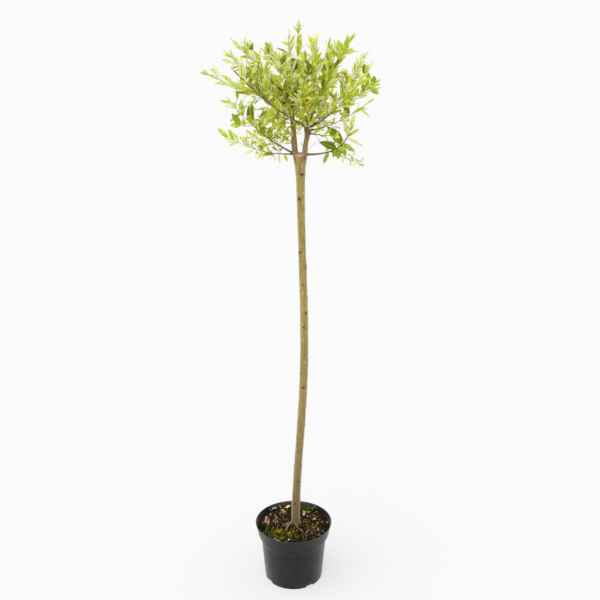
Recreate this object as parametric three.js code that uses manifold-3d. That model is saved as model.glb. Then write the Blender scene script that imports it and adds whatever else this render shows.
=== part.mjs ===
// A willow grown as a small standard: a loose, unclipped crown on one clear stem, in its nursery
// pot. Millimetres, +Z up. The origin is the centre of the pot's underside, and -Y is the front.
import * as THREE from 'three';
import { mergeVertices } from 'three/addons/utils/BufferGeometryUtils.js';
import Module from 'manifold-3d';

const wasm = await Module();
wasm.setup();

// Gaps that keep neighbouring solids apart.
const CLEARANCE = 0.35;
const NEAR = 0.5;

// Pot: a thin shell with a deep lip, standing on a centre pad and on a foot ring with notches.
const POT_HEIGHT = 150;
const RIM_RADIUS = 95;
const LIP_FOOT = { radius: 89, height: 120 };
const SHOULDER = { radius: 80.5, height: 109 };
const FOOT_RADIUS = 71.5;
const POT_WALL = 1.5;
const RIM_ROUND = 0.7;
const PAD_RADIUS = 30;
const CHANNEL = { inner: 34, outer: 60, height: 4 };
const RING_INNER = 64;
const POT_SEGMENTS = 32;
const NOTCHES = 4;
const NOTCH_TURN = 33.75;
const NOTCH_HALF_ANGLE = 8;
const DRAINS = 8;
const DRAIN_RADIUS = 5;

// Root ball: moist peat that fills the pot to just under the rim, heaped a little at the stem.
const SOIL_LEVEL = 138;
const SOIL_HEAP = { radius: 24, height: 141 };
const SOIL_RINGS = 4;
const SOIL_BUMP = 1.2;

// Stem, from its flat foot on the soil to the fork: height, sideways and backward lean, diameter.
const STEM_STATIONS = [
  { height: SOIL_HEAP.height + CLEARANCE, lean: 2.5, back: 0, diameter: 19 },
  { height: 240, lean: 8, back: 1, diameter: 18.4 },
  { height: 380, lean: 16, back: 3, diameter: 17.9 },
  { height: 530, lean: 24.5, back: 5, diameter: 17.6 },
  { height: 690, lean: 25.5, back: 6, diameter: 17.4 },
  { height: 850, lean: 20.5, back: 4, diameter: 16.6 },
  { height: 965, lean: 18, back: 2, diameter: 16.6 },
  { height: 1030, lean: 16.5, back: 0, diameter: 20.5 },
  { height: 1071, lean: 16.5, back: 0, diameter: 26 },
];
const STEM_SIDES = 10;
const STEM_LEVELS = 16;
const ROOT_FLARE = 5;
const FLARE_HEIGHT = 26;
const FLARE_LOBES = 5;

// Limbs: each leaves its parent at the share `at` of the parent's length, setting off at the
// azimuth `turn` (0 right, 90 back, 180 left, 270 front) and the elevation `climb`, and bends by
// `sweep` and `lift` degrees over its length. Two leaders carry the crown.
const FORK_DEPTH = 5;
const LEADERS = [
  { name: 'leader_left', side: -9.5, turn: 147, climb: 84, length: 132, lift: -4, sweep: -12 },
  { name: 'leader_right', side: 9, turn: -36, climb: 74, length: 60, lift: 14, sweep: -18 },
];
const LEADER_DIAMETERS = { base: 13, tip: 10 };
const LEADER_SIDES = 8;
const LEADER_LEVELS = 6;

// Shoots: the first share `bare` of each is a bough, `thick` across at its base, and the rest is
// in leaf, a mass of the radius `leafy` that goes to the shoot's tip.
const FORK = 'stem';
const SHOOTS = [
  { name: 'heart', from: 'leader_left', at: 0.72, turn: 12, climb: 62, length: 120, lift: 10, sweep: 30,
    bare: 0, leafy: 24 },
  { name: 'long_cut', from: 'leader_right', at: 0.98, turn: 201, climb: 26, length: 202, lift: 22, sweep: -5,
    bare: 1, thick: 5 },
  { name: 'low_left', from: FORK, side: -12, turn: 202, climb: 27, length: 202, lift: 24, sweep: 6,
    bare: 0.36, thick: 5.5, leafy: 25 },
  { name: 'droop_left', from: FORK, side: -12, turn: 161, climb: -5, length: 178, lift: 35, sweep: 6,
    bare: 0.34, thick: 4.5, leafy: 19 },
  { name: 'low_right', from: FORK, side: 9, turn: 342, climb: -5, length: 84, lift: 38, sweep: -6,
    bare: 1, thick: 5.5 },
  { name: 'low_right_tip', from: 'low_right', at: 1, turn: 343, climb: 39, length: 73, lift: 45, sweep: -71,
    bare: 0.4, thick: 3.4, leafy: 20 },
  { name: 'droop_right', from: 'low_right', at: 0.73, turn: 354, climb: -25, length: 86, lift: 7, sweep: -16,
    bare: 0.3, thick: 2.6, leafy: 16 },
  { name: 'far_left', from: 'leader_left', at: 0.8, turn: 166, climb: 11, length: 210, lift: 16, sweep: 8,
    bare: 0.34, thick: 5, leafy: 23 },
  { name: 'high_left', from: 'leader_left', at: 0.87, turn: 213, climb: 43, length: 172, lift: 3, sweep: -25,
    bare: 0.36, thick: 4.5, leafy: 22 },
  { name: 'side_left', from: 'leader_left', at: 0.91, turn: 129, climb: 20, length: 197, lift: 16, sweep: 41,
    bare: 0.34, thick: 4.5, leafy: 23 },
  { name: 'back_low', from: 'leader_left', at: 0.52, turn: 95, climb: 8, length: 200, lift: 28, sweep: 8,
    bare: 0.34, thick: 4.5, leafy: 24 },
  { name: 'back_left', from: 'leader_left', at: 0.7, turn: 124, climb: 22, length: 205, lift: 22, sweep: -14,
    bare: 0.32, thick: 4.5, leafy: 24 },
  { name: 'back_high', from: 'leader_left', at: 0.92, turn: 84, climb: 46, length: 176, lift: 18, sweep: 15,
    bare: 0.28, thick: 4.5, leafy: 26 },
  { name: 'front_left', from: 'leader_left', at: 0.84, turn: 256, climb: 24, length: 172, lift: 26, sweep: 12,
    bare: 0.3, thick: 4, leafy: 24 },
  { name: 'peak_left', from: 'leader_left', at: 0.97, turn: 163, climb: 74, length: 114, lift: -26, sweep: 23,
    bare: 0.2, thick: 4.5, leafy: 24 },
  { name: 'peak', from: 'leader_left', at: 0.98, turn: -2, climb: 68, length: 147, lift: 23, sweep: -106,
    bare: 0.2, thick: 5, leafy: 22 },
  { name: 'reach_right', from: 'leader_right', at: 0.86, turn: 43, climb: 1, length: 199, lift: 34,
    sweep: -16, bare: 0.36, thick: 4.5, leafy: 22 },
  { name: 'inner_right', from: 'leader_right', at: 0.78, turn: 307, climb: -2, length: 118, lift: 11,
    sweep: -2, bare: 0.36, thick: 3.6, leafy: 21 },
  { name: 'back_right', from: 'leader_right', at: 0.9, turn: 72, climb: 18, length: 205, lift: 26, sweep: -14,
    bare: 0.32, thick: 4.5, leafy: 25 },
  { name: 'arch_right', from: 'leader_right', at: 0.91, turn: 320, climb: 25, length: 210, lift: 35,
    sweep: 18, bare: 0.38, thick: 4.5, leafy: 22 },
  { name: 'far_right', from: 'leader_right', at: 0.95, turn: 20, climb: 31, length: 189, lift: 0, sweep: -14,
    bare: 0.38, thick: 5, leafy: 24 },
  { name: 'side_right', from: 'leader_right', at: 0.98, turn: 41, climb: 18, length: 221, lift: 55,
    sweep: -21, bare: 0.36, thick: 4.5, leafy: 23 },
  { name: 'high_right', from: 'leader_right', at: 1, turn: -26, climb: 68, length: 216, lift: -12, sweep: 9,
    bare: 0.3, thick: 5, leafy: 24 },
  { name: 'bunch', from: 'leader_right', at: 1, turn: 63, climb: 43, length: 196, lift: 35, sweep: -21,
    bare: 0.3, thick: 4.5, leafy: 26 },
  { name: 'crest', from: 'leader_right', at: 1, turn: 306, climb: 56, length: 199, lift: 36, sweep: -65,
    bare: 0.24, thick: 4.5, leafy: 25 },
  { name: 'front_right', from: 'leader_right', at: 1, turn: 266, climb: 30, length: 160, lift: 26, sweep: -10,
    bare: 0.26, thick: 4, leafy: 24 },
  { name: 'peach_left', from: 'leader_left', at: 0.94, turn: 274, climb: 50, length: 145, lift: 39,
    sweep: -14, bare: 0, leafy: 22 },
  { name: 'peach_right', from: 'leader_right', at: 1, turn: 86, climb: 65, length: 173, lift: 21, sweep: 27,
    bare: 0, leafy: 25 },
  { name: 'long_cut_side', from: 'long_cut', at: 0.5, turn: 172, climb: 48, length: 84, lift: 20, sweep: 0,
    bare: 0, leafy: 19 },
];
const BOUGH_SIDES = 5;
const BOUGH_LEVELS = 5;
const BOUGH_TAPER = 0.5;
const MASS_SIDES = 6;
const MASS_LEVELS = 8;
const MASS_OVERLAP = 12;
const PATH_STEPS = 16;

const BARK = { color: '#a1905c', roughness: 0.85, metalness: 0 };
const YOUNG_BARK = { color: '#8f7a48', roughness: 0.8, metalness: 0 };
const LEAF = { color: '#a9b455', roughness: 0.6, metalness: 0 };
const PEAT = { color: '#3a2c18', roughness: 1, metalness: 0 };
const PLASTIC = { color: '#343434', roughness: 0.5, metalness: 0 };

const radians = THREE.MathUtils.degToRad;

// ---- Solids ----

// The closed solid of a geometry whose seam and pole vertices are merged.
function solidOf(geometry) {
  geometry.deleteAttribute('normal');
  geometry.deleteAttribute('uv');
  const merged = mergeVertices(geometry, 1e-3);
  const index = Array.from(merged.index.array);
  const corners = [];
  for (let i = 0; i < index.length; i += 3) {
    const triangle = index.slice(i, i + 3);
    if (new Set(triangle).size === 3) corners.push(...triangle);
  }
  return new wasm.Manifold(new wasm.Mesh({
    numProp: 3,
    vertProperties: merged.attributes.position.array,
    triVerts: Uint32Array.from(corners),
  }));
}

function geometryOf(solid) {
  const mesh = solid.getMesh();
  const geometry = new THREE.BufferGeometry();
  geometry.setAttribute('position', new THREE.BufferAttribute(mesh.vertProperties, 3));
  geometry.setIndex(new THREE.BufferAttribute(mesh.triVerts, 1));
  geometry.computeVertexNormals();
  return geometry;
}

function boxesMeet(a, b) {
  const one = a.boundingBox();
  const other = b.boundingBox();
  return [0, 1, 2].every((axis) => one.min[axis] < other.max[axis] && other.min[axis] < one.max[axis]);
}

// A solid less every neighbour that it would touch, and of what is left the largest piece.
function cutClear(solid, neighbours) {
  const close = neighbours.filter((other) => boxesMeet(solid, other));
  const cut = close.reduce((rest, other) => rest.subtract(other), solid);
  return cut.decompose().reduce((best, piece) => (piece.volume() > best.volume() ? piece : best));
}

// ---- Limbs and masses ----

// The line of a limb that sets off along `turn` and `climb` and bends evenly as it goes.
function limbCurve(start, { turn, climb, length, lift, sweep }) {
  const points = [start.clone()];
  const step = length / PATH_STEPS;
  for (let i = 0; i < PATH_STEPS; i += 1) {
    const along = (i + 0.5) / PATH_STEPS;
    const azimuth = radians(turn + sweep * along);
    const elevation = radians(climb + lift * along);
    points.push(new THREE.Vector3(
      Math.cos(elevation) * Math.cos(azimuth),
      Math.cos(elevation) * Math.sin(azimuth),
      Math.sin(elevation),
    ).multiplyScalar(step).add(points[i]));
  }
  return new THREE.CatmullRomCurve3(points);
}

// Cross-section frames along a stretch of a curve, turned as little as possible from one to the next.
function framesAlong(curve, from, to, levels) {
  const frames = [];
  let tangent = curve.getTangentAt(from);
  const upright = Math.abs(tangent.z) > 0.7;
  let side = new THREE.Vector3(upright ? 1 : 0, 0, upright ? 0 : 1);
  for (let level = 0; level <= levels; level += 1) {
    const share = THREE.MathUtils.lerp(from, to, level / levels);
    const next = curve.getTangentAt(share);
    side.applyQuaternion(new THREE.Quaternion().setFromUnitVectors(tangent, next));
    side.addScaledVector(next, -side.dot(next)).normalize();
    tangent = next;
    frames.push({
      centre: curve.getPointAt(share),
      side: side.clone(),
      other: new THREE.Vector3().crossVectors(next, side),
    });
  }
  return frames;
}

// A closed tube along a stretch of a curve: radiusAt(level share, angle), with flat or pointed ends.
function sweepSolid({ curve, from = 0, to = 1, sides, levels, pointed = false, radiusAt }) {
  const first = pointed ? 1 : 0;
  const profile = [new THREE.Vector2(0, 0)];
  for (let level = first; level <= levels - first; level += 1) profile.push(new THREE.Vector2(1, level));
  profile.push(new THREE.Vector2(0, levels));
  const geometry = new THREE.LatheGeometry(profile, sides);
  const frames = framesAlong(curve, from, to, levels);
  const position = geometry.attributes.position;
  for (let i = 0; i < position.count; i += 1) {
    const level = Math.round(position.getY(i));
    const frame = frames[level];
    const turned = Math.round((Math.atan2(position.getX(i), position.getZ(i)) / (2 * Math.PI)) * sides);
    const angle = (((turned + sides) % sides) / sides) * 2 * Math.PI;
    const onAxis = Math.hypot(position.getX(i), position.getZ(i)) < 0.5;
    const radius = onAxis ? 0 : radiusAt(level / levels, angle);
    const point = frame.centre.clone()
      .addScaledVector(frame.side, radius * Math.cos(angle))
      .addScaledVector(frame.other, radius * Math.sin(angle));
    position.setXYZ(i, point.x, point.y, point.z);
  }
  return solidOf(geometry);
}

// ---- Pot and root ball ----

function raisedAtNotch(angle) {
  const spacing = 360 / NOTCHES;
  const turned = THREE.MathUtils.radToDeg(angle) - NOTCH_TURN;
  const offset = THREE.MathUtils.euclideanModulo(turned + spacing / 2, spacing) - spacing / 2;
  return Math.abs(offset) < NOTCH_HALF_ANGLE ? CHANNEL.height : 0;
}

// A closed profile turned about Z, with its foot ring lifted at the notches.
function turnedSolid(profile, heightAt) {
  const geometry = new THREE.LatheGeometry(profile.map(([x, y]) => new THREE.Vector2(x, y)), POT_SEGMENTS);
  geometry.rotateX(Math.PI / 2);
  const position = geometry.attributes.position;
  for (let i = 0; i < position.count; i += 1) {
    const x = position.getX(i);
    const y = position.getY(i);
    position.setZ(i, heightAt(position.getZ(i), Math.hypot(x, y), Math.atan2(y, x)));
  }
  return solidOf(geometry);
}

// The upright inside of the pot, less a gap: the corner at the floor, the shoulder and the lip's foot.
function innerWall(gap, floor) {
  const inset = POT_WALL + gap;
  return [
    [FOOT_RADIUS - inset, floor],
    [SHOULDER.radius - inset, SHOULDER.height + 0.5],
    [LIP_FOOT.radius - inset, LIP_FOOT.height + 0.5],
  ];
}

function liftFoot(height, radius, angle) {
  const inRing = radius > RING_INNER - 1 && height < CHANNEL.height;
  return inRing ? height + raisedAtNotch(angle) : height;
}

function potSolid() {
  const outside = [
    [0, 0],
    [PAD_RADIUS, 0],
    [CHANNEL.inner, CHANNEL.height],
    [CHANNEL.outer, CHANNEL.height],
    [RING_INNER, 0],
    [FOOT_RADIUS - RIM_ROUND, 0],
    [FOOT_RADIUS, RIM_ROUND],
    [SHOULDER.radius, SHOULDER.height],
    [LIP_FOOT.radius, LIP_FOOT.height],
    [RIM_RADIUS, POT_HEIGHT - RIM_ROUND],
    [RIM_RADIUS - RIM_ROUND, POT_HEIGHT],
    [RIM_RADIUS - POT_WALL, POT_HEIGHT - RIM_ROUND],
  ];
  const floor = [
    [0, POT_WALL],
    [PAD_RADIUS - 1, POT_WALL],
    [CHANNEL.inner - 1, CHANNEL.height + POT_WALL],
    [CHANNEL.outer + 1, CHANNEL.height + POT_WALL],
    [RING_INNER + 1, POT_WALL],
  ];
  const inside = [...floor, ...innerWall(0, POT_WALL)].reverse();
  const shell = turnedSolid([...outside, ...inside], liftFoot);
  const reach = CHANNEL.height + 2 * POT_WALL;
  const drains = Array.from({ length: DRAINS }, (_, i) => {
    const angle = radians(NOTCH_TURN) + (i / DRAINS) * 2 * Math.PI;
    const middle = (CHANNEL.inner + CHANNEL.outer) / 2;
    const drill = new THREE.CylinderGeometry(DRAIN_RADIUS, DRAIN_RADIUS, 2 * reach, 6);
    drill.rotateX(Math.PI / 2).translate(middle * Math.cos(angle), middle * Math.sin(angle), CHANNEL.height);
    return solidOf(drill);
  });
  return drains.reduce((pot, drill) => pot.subtract(drill), shell);
}

function rootBallSolid() {
  const underside = CHANNEL.height + POT_WALL + CLEARANCE;
  const wall = innerWall(CLEARANCE, underside);
  const [lipRadius, lipHeight] = wall.at(-1);
  const draft = (RIM_RADIUS - LIP_FOOT.radius) / (POT_HEIGHT - LIP_FOOT.height);
  const edge = lipRadius + draft * (SOIL_LEVEL - lipHeight);
  const surface = Array.from({ length: SOIL_RINGS }, (_, i) => (
    [THREE.MathUtils.lerp(edge, SOIL_HEAP.radius, (i + 1) / SOIL_RINGS), SOIL_LEVEL]
  ));
  surface.at(-1)[1] = SOIL_HEAP.height;
  const bumpy = (height, radius, angle) => {
    const open = height === SOIL_LEVEL && radius < edge - 1;
    const wave = Math.sin(3 * angle + radius / 9) + Math.cos(5 * angle - radius / 6);
    return open ? height + (SOIL_BUMP * wave) / 2 : height;
  };
  return turnedSolid([[0, underside], ...wall, [edge, SOIL_LEVEL], ...surface, [0, SOIL_HEAP.height]], bumpy);
}

// ---- Stem, leaders and shoots ----

const stemCurve = new THREE.CatmullRomCurve3(
  STEM_STATIONS.map(({ height, lean, back }) => new THREE.Vector3(lean, back, height)),
);
const stemFoot = STEM_STATIONS[0].height;
const stemTop = STEM_STATIONS.at(-1).height;

function stemRadius(height) {
  const upper = Math.max(1, STEM_STATIONS.findIndex((station) => station.height >= height - 1e-6));
  const [a, b] = [STEM_STATIONS[upper - 1], STEM_STATIONS[upper]];
  const share = (height - a.height) / (b.height - a.height);
  return THREE.MathUtils.lerp(a.diameter, b.diameter, share) / 2;
}

function stemSolid(grow = 0) {
  const radiusAt = (share, angle) => {
    const height = stemCurve.getPointAt(share).z;
    const flare = ROOT_FLARE * Math.exp(-(height - stemFoot) / FLARE_HEIGHT);
    return stemRadius(height) + flare * (0.7 + 0.3 * Math.cos(FLARE_LOBES * angle)) + grow;
  };
  const solid = sweepSolid({ curve: stemCurve, sides: STEM_SIDES, levels: STEM_LEVELS, radiusAt });
  // The foot is cut off flat where it stands on the soil.
  return solid.trimByPlane([0, 0, 1], stemFoot - grow);
}

const curves = {};

function limbSolid({ curve, to, base, tip, sides, levels }, grow = 0) {
  const radiusAt = (share) => THREE.MathUtils.lerp(base, tip, share) / 2 + grow;
  return sweepSolid({ curve, to, sides, levels, radiusAt });
}

// A mass of foliage: fullest below its middle, uneven all round, and drawn out to a tip.
function massSolid({ curve, from, leafy, seed }, grow = 0) {
  const radiusAt = (share, angle) => {
    const full = Math.sin(Math.PI * share ** 0.8) ** 0.6;
    const ridges = 0.2 * Math.cos(2 * angle + seed + 9 * share);
    const lumps = 0.17 * Math.cos(3 * angle - 2 * seed + 17 * share);
    return leafy * full * (1 + ridges + lumps) + grow;
  };
  return sweepSolid({ curve, from, sides: MASS_SIDES, levels: MASS_LEVELS, pointed: true, radiusAt });
}

// ---- Assembly ----

const plant = new THREE.Group();
const grown = [];

function addMesh(name, solid, look) {
  const mesh = new THREE.Mesh(geometryOf(solid), new THREE.MeshStandardMaterial(look));
  mesh.name = name;
  plant.add(mesh);
}

// Each piece is cut clear of those before it, and later ones of its slightly grown shape.
function addPiece(name, build, look) {
  addMesh(name, cutClear(build(0), grown), look);
  grown.push(build(NEAR));
}

function startOf({ from, at, side }) {
  if (from === FORK) return new THREE.Vector3(STEM_STATIONS.at(-1).lean + side, 0, stemTop - FORK_DEPTH);
  return curves[from].getPointAt(at);
}

addMesh('pot', potSolid(), PLASTIC);
addMesh('root_ball', rootBallSolid(), PEAT);
addPiece('trunk', stemSolid, BARK);

for (const leader of LEADERS) {
  const curve = limbCurve(startOf({ from: FORK, side: leader.side }), leader);
  curves[leader.name] = curve;
  const shape = { curve, ...LEADER_DIAMETERS, sides: LEADER_SIDES, levels: LEADER_LEVELS };
  addPiece(leader.name, (grow) => limbSolid(shape, grow), BARK);
}

for (const shoot of SHOOTS) {
  const curve = limbCurve(startOf(shoot), shoot);
  curves[shoot.name] = curve;
  if (shoot.bare > 0) {
    const tip = shoot.thick * (1 - BOUGH_TAPER * shoot.bare);
    const shape = { curve, to: shoot.bare, base: shoot.thick, tip, sides: BOUGH_SIDES, levels: BOUGH_LEVELS };
    addPiece(`bough_${shoot.name}`, (grow) => limbSolid(shape, grow), YOUNG_BARK);
  }
}

SHOOTS.filter((shoot) => shoot.leafy).forEach((shoot, seed) => {
  const from = Math.max(0, shoot.bare - MASS_OVERLAP / shoot.length);
  const shape = { curve: curves[shoot.name], from, leafy: shoot.leafy, seed };
  addPiece(`foliage_${shoot.name}`, (grow) => massSolid(shape, grow), LEAF);
});

export default plant;
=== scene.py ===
"""A dappled willow grafted as a small standard, in its nursery pot: its looks, round the solids.

Lengths are in metres and +Z is up. The origin is the centre of the pot's underside, and -Y is the
front. The limbs, and the shoots that carry the leaves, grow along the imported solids' centre lines.
"""
import itertools
import math

import bpy
import numpy as np
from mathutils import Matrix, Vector


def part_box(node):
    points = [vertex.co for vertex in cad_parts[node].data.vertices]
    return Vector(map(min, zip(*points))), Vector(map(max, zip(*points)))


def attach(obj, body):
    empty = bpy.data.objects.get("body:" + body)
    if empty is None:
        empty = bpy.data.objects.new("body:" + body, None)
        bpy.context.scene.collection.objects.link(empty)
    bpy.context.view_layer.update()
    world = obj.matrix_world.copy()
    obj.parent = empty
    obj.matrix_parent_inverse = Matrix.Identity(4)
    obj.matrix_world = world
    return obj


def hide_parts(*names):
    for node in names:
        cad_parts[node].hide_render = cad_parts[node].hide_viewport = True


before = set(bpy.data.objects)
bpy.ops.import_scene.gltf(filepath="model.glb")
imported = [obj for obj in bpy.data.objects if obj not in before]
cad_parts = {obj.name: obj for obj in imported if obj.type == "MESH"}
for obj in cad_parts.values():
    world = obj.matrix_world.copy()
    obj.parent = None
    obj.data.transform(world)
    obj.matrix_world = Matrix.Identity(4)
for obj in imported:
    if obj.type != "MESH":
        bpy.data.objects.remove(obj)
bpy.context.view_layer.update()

SEED = 20
random = np.random.default_rng(SEED)

MM = 0.001
UP = np.array([0.0, 0.0, 1.0])
RIGHT = np.array([1.0, 0.0, 0.0])


# ---- Camera, light and floor ----

CAMERA_PLACE = (0.016, -1.823, 1.318)
CAMERA_TILT = 72.2
LENS, SENSOR = 50, 36

WHITE = 0.96
SUN = 1.4
SUN_FROM = (-1.0, -0.9, 1.5)
SUN_SPREAD = 80

FLOOR_TINT = 0.30
FLOOR_HALF = 60


def add_camera():
    """A 50 mm lens that looks down a little at the whole plant."""
    data = bpy.data.cameras.new("camera")
    data.lens = LENS
    data.sensor_width = SENSOR
    camera = bpy.data.objects.new("camera", data)
    camera.location = CAMERA_PLACE
    camera.rotation_euler = (math.radians(CAMERA_TILT), 0, 0)
    bpy.context.scene.collection.objects.link(camera)
    bpy.context.scene.camera = camera


def add_light():
    """A white surround, and a very soft sun from the front left."""
    world = bpy.data.worlds.new("studio")
    bpy.context.scene.world = world
    world.use_nodes = True
    background = world.node_tree.nodes["Background"]
    background.inputs["Color"].default_value = (1, 1, 1, 1)
    background.inputs["Strength"].default_value = WHITE
    aim = -Vector(SUN_FROM).normalized()
    data = bpy.data.lights.new("sun", "SUN")
    data.angle = math.radians(SUN_SPREAD)
    data.energy = SUN
    light = bpy.data.objects.new("sun", data)
    light.rotation_euler = aim.to_track_quat("-Z", "Y").to_euler()
    bpy.context.scene.collection.objects.link(light)
    bpy.context.scene.view_settings.view_transform = "Standard"


def add_floor():
    """A light table: what it shines with and what it gives back add up to the surround's white."""
    lit = WHITE + SUN / math.pi * Vector(SUN_FROM).normalized().z
    look, _, _ = new_look("floor_white", Base_Color=(FLOOR_TINT,) * 3, Roughness=1.0,
                          Specular_IOR_Level=0.0, Emission_Color=(1.0, 1.0, 1.0),
                          Emission_Strength=WHITE - FLOOR_TINT * lit)
    half = FLOOR_HALF
    corners = [(-half, -half, 0), (half, -half, 0), (half, half, 0), (-half, half, 0)]
    add_piece("floor", corners, [(0, 1, 2, 3)], looks=[look])


# ---- Arrays and meshes ----

def unit(vectors):
    """Each vector divided by its length."""
    return vectors / np.linalg.norm(vectors, axis=-1, keepdims=True)


def noise(points, cell, seed=0):
    """Noise from -1 to 1: chance values on a lattice of that cell, blended by smoothsteps."""
    scaled = np.asarray(points, float) / cell
    corner = np.floor(scaled)
    share = scaled - corner
    share = share * share * (3 - 2 * share)
    total = 0.0
    for step in itertools.product((0, 1), repeat=3):
        keys = (corner + step) @ np.array([127.1, 311.7, 74.7]) + 53.3 * seed
        value = np.modf(np.abs(np.sin(keys)) * 43758.5453)[0] * 2 - 1
        total = total + np.prod(np.where(step, share, 1 - share), axis=-1) * value
    return total


def smoothstep(values, low, high):
    """0 up to `low` and 1 from `high`, with a cubic between them that is level at both ends."""
    share = np.clip((values - low) / (high - low), 0, 1)
    return share * share * (3 - 2 * share)


def full_turn(count):
    """The angles of `count` even steps round a circle."""
    return np.arange(count) / count * 2 * np.pi


def level_circle(turn):
    """The points of a level circle of radius 1 at these angles."""
    return np.stack([np.cos(turn), np.sin(turn), 0 * turn], -1)


def add_piece(name, points, quads=(), triangles=(), looks=(), look_of_face=None, uv=None,
              marks=None):
    """A smooth mesh of quads and then triangles, with its materials, UV map and vertex marks."""
    points = np.ascontiguousarray(points, np.float32).reshape(-1, 3)
    quads = np.asarray(quads, np.int32).reshape(-1, 4)
    triangles = np.asarray(triangles, np.int32).reshape(-1, 3)
    corners = np.concatenate([quads.ravel(), triangles.ravel()])
    sizes = np.concatenate([np.full(len(quads), 4), np.full(len(triangles), 3)])
    starts = np.concatenate([[0], np.cumsum(sizes)[:-1]]).astype(np.int32)
    mesh = bpy.data.meshes.new(name)
    mesh.vertices.add(len(points))
    mesh.vertices.foreach_set("co", points.ravel())
    mesh.loops.add(len(corners))
    mesh.loops.foreach_set("vertex_index", corners)
    mesh.polygons.add(len(sizes))
    mesh.polygons.foreach_set("loop_start", starts)
    mesh.update(calc_edges=True)
    mesh.polygons.foreach_set("use_smooth", np.ones(len(sizes), bool))
    if uv is not None:
        layer = mesh.uv_layers.new(name="UVMap")
        layer.data.foreach_set("uv", np.asarray(uv, np.float32).reshape(-1, 2)[corners].ravel())
    for mark, values in (marks or {}).items():
        attribute = mesh.attributes.new(mark, "FLOAT", "POINT")
        attribute.data.foreach_set("value", np.asarray(values, np.float32).ravel())
    for look in looks:
        mesh.materials.append(look)
    if look_of_face is not None:
        mesh.polygons.foreach_set("material_index", np.asarray(look_of_face, np.int32).ravel())
    piece = bpy.data.objects.new(name, mesh)
    bpy.context.scene.collection.objects.link(piece)
    return piece


def belongs(piece, slot, *nodes):
    """The piece stands on the plant's one body and hides `nodes`. `slot` is not used."""
    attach(piece, "root")
    if nodes:
        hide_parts(*nodes)


def grid_quads(rows, columns, count=1, closed=False):
    """Corner numbers of the quads of `count` grids, whose columns may close on themselves."""
    last = columns if closed else columns - 1
    row, column = np.meshgrid(np.arange(rows - 1), np.arange(last), indexing="ij")
    after = (column + 1) % columns
    corners = [row * columns + column, row * columns + after,
               (row + 1) * columns + after, (row + 1) * columns + column]
    first = np.stack(corners, -1).reshape(-1, 4)
    return (np.arange(count)[:, None, None] * rows * columns + first).reshape(-1, 4)


def capped(rings):
    """A closed solid from rings of points (ring, turn, xyz), with a point amid each end.

    The rings climb, and turn anticlockwise seen from above. Returns points, quads and triangles.
    """
    count, turns = rings.shape[:2]
    points = np.concatenate([rings.reshape(-1, 3), rings[:1].mean(1), rings[-1:].mean(1)])
    here = np.arange(turns)
    after = (here + 1) % turns
    low = np.stack([np.full(turns, count * turns), after, here], -1)
    last = (count - 1) * turns
    high = np.stack([np.full(turns, count * turns + 1), last + here, last + after], -1)
    return points, grid_quads(count, turns, closed=True), np.concatenate([low, high])


def tubes(paths, radii, sides):
    """Closed tubes along `paths` (tube, ring, xyz): each ring is a circle square to the path.

    The direction round the ring starts from a cross product of the path with one fixed line for
    each tube, which no tube runs along. Returns points, quads and triangles.
    """
    paths = np.asarray(paths, float)
    tangent = unit(np.gradient(paths, axis=1))
    chord = unit(paths[:, -1] - paths[:, 0])
    helper = np.where(np.abs(chord[:, 2:]) > 0.8, RIGHT, UP)
    side = unit(np.cross(tangent, helper[:, None]))
    other = np.cross(tangent, side)
    angle = full_turn(sides)
    ring = side[:, :, None] * np.cos(angle)[:, None] + other[:, :, None] * np.sin(angle)[:, None]
    walls = paths[:, :, None] + ring * np.asarray(radii)[:, :, None, None]
    return joined([capped(wall) for wall in walls])


def joined(parts):
    """Joins (points, quads, triangles) parts into one, with their corner numbers moved on."""
    starts = np.cumsum([0] + [len(part[0]) for part in parts[:-1]])
    return (np.concatenate([part[0] for part in parts]),
            np.concatenate([part[1] + start for part, start in zip(parts, starts)]),
            np.concatenate([part[2] + start for part, start in zip(parts, starts)]))


def on_tubes(values, sides):
    """A mark given per ring (tube, ring), spread over the points that `tubes` makes."""
    spread = np.repeat(values, sides, axis=1)
    return np.concatenate([spread, values[:, :1], values[:, -1:]], axis=1).ravel()


def resampled(path, count):
    """The same line with evenly spaced points."""
    along = np.concatenate([[0], np.cumsum(np.linalg.norm(np.diff(path, axis=0), axis=1))])
    even = np.linspace(0, along[-1], count)
    return np.stack([np.interp(even, along, path[:, axis]) for axis in range(3)], -1)


def softened(path, times):
    """The same line with its corners eased: a point takes half itself and half its neighbours."""
    path = path.copy()
    for _ in range(times):
        path[1:-1] = (path[:-2] + 2 * path[1:-1] + path[2:]) / 4
    return path


def length_of(path):
    """The sum of the steps between a line's points."""
    return np.linalg.norm(np.diff(path, axis=0), axis=1).sum()


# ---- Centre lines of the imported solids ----

def triangles_of(node):
    """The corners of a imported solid's triangles, as (triangle, corner, xyz)."""
    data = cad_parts[node].data
    co = np.empty(len(data.vertices) * 3, np.float32)
    data.vertices.foreach_get("co", co)
    index = np.empty(len(data.loops), np.int32)
    data.loops.foreach_get("vertex_index", index)
    return co.reshape(-1, 3)[index].reshape(-1, 3, 3).astype(float)


def vertices_of(node):
    """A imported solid's corners, each once."""
    return np.unique(triangles_of(node).reshape(-1, 3).round(5), axis=0)


def centre_line(node, away_from, count=24):
    """A limb's line, from its end nearer to `away_from`: cubics fitted to its vertices along it."""
    points = vertices_of(node)
    axis = np.linalg.svd(points - points.mean(0))[2][0]
    along = (points - points.mean(0)) @ axis
    ends = points[along.argmin()], points[along.argmax()]
    if np.linalg.norm(ends[0] - away_from) > np.linalg.norm(ends[1] - away_from):
        along = -along
    share = (along - along.min()) / np.ptp(along)
    even = np.linspace(0, 1, count)
    return np.stack([np.polyval(np.polyfit(share, points[:, k], 3), even) for k in range(3)], -1)


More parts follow.
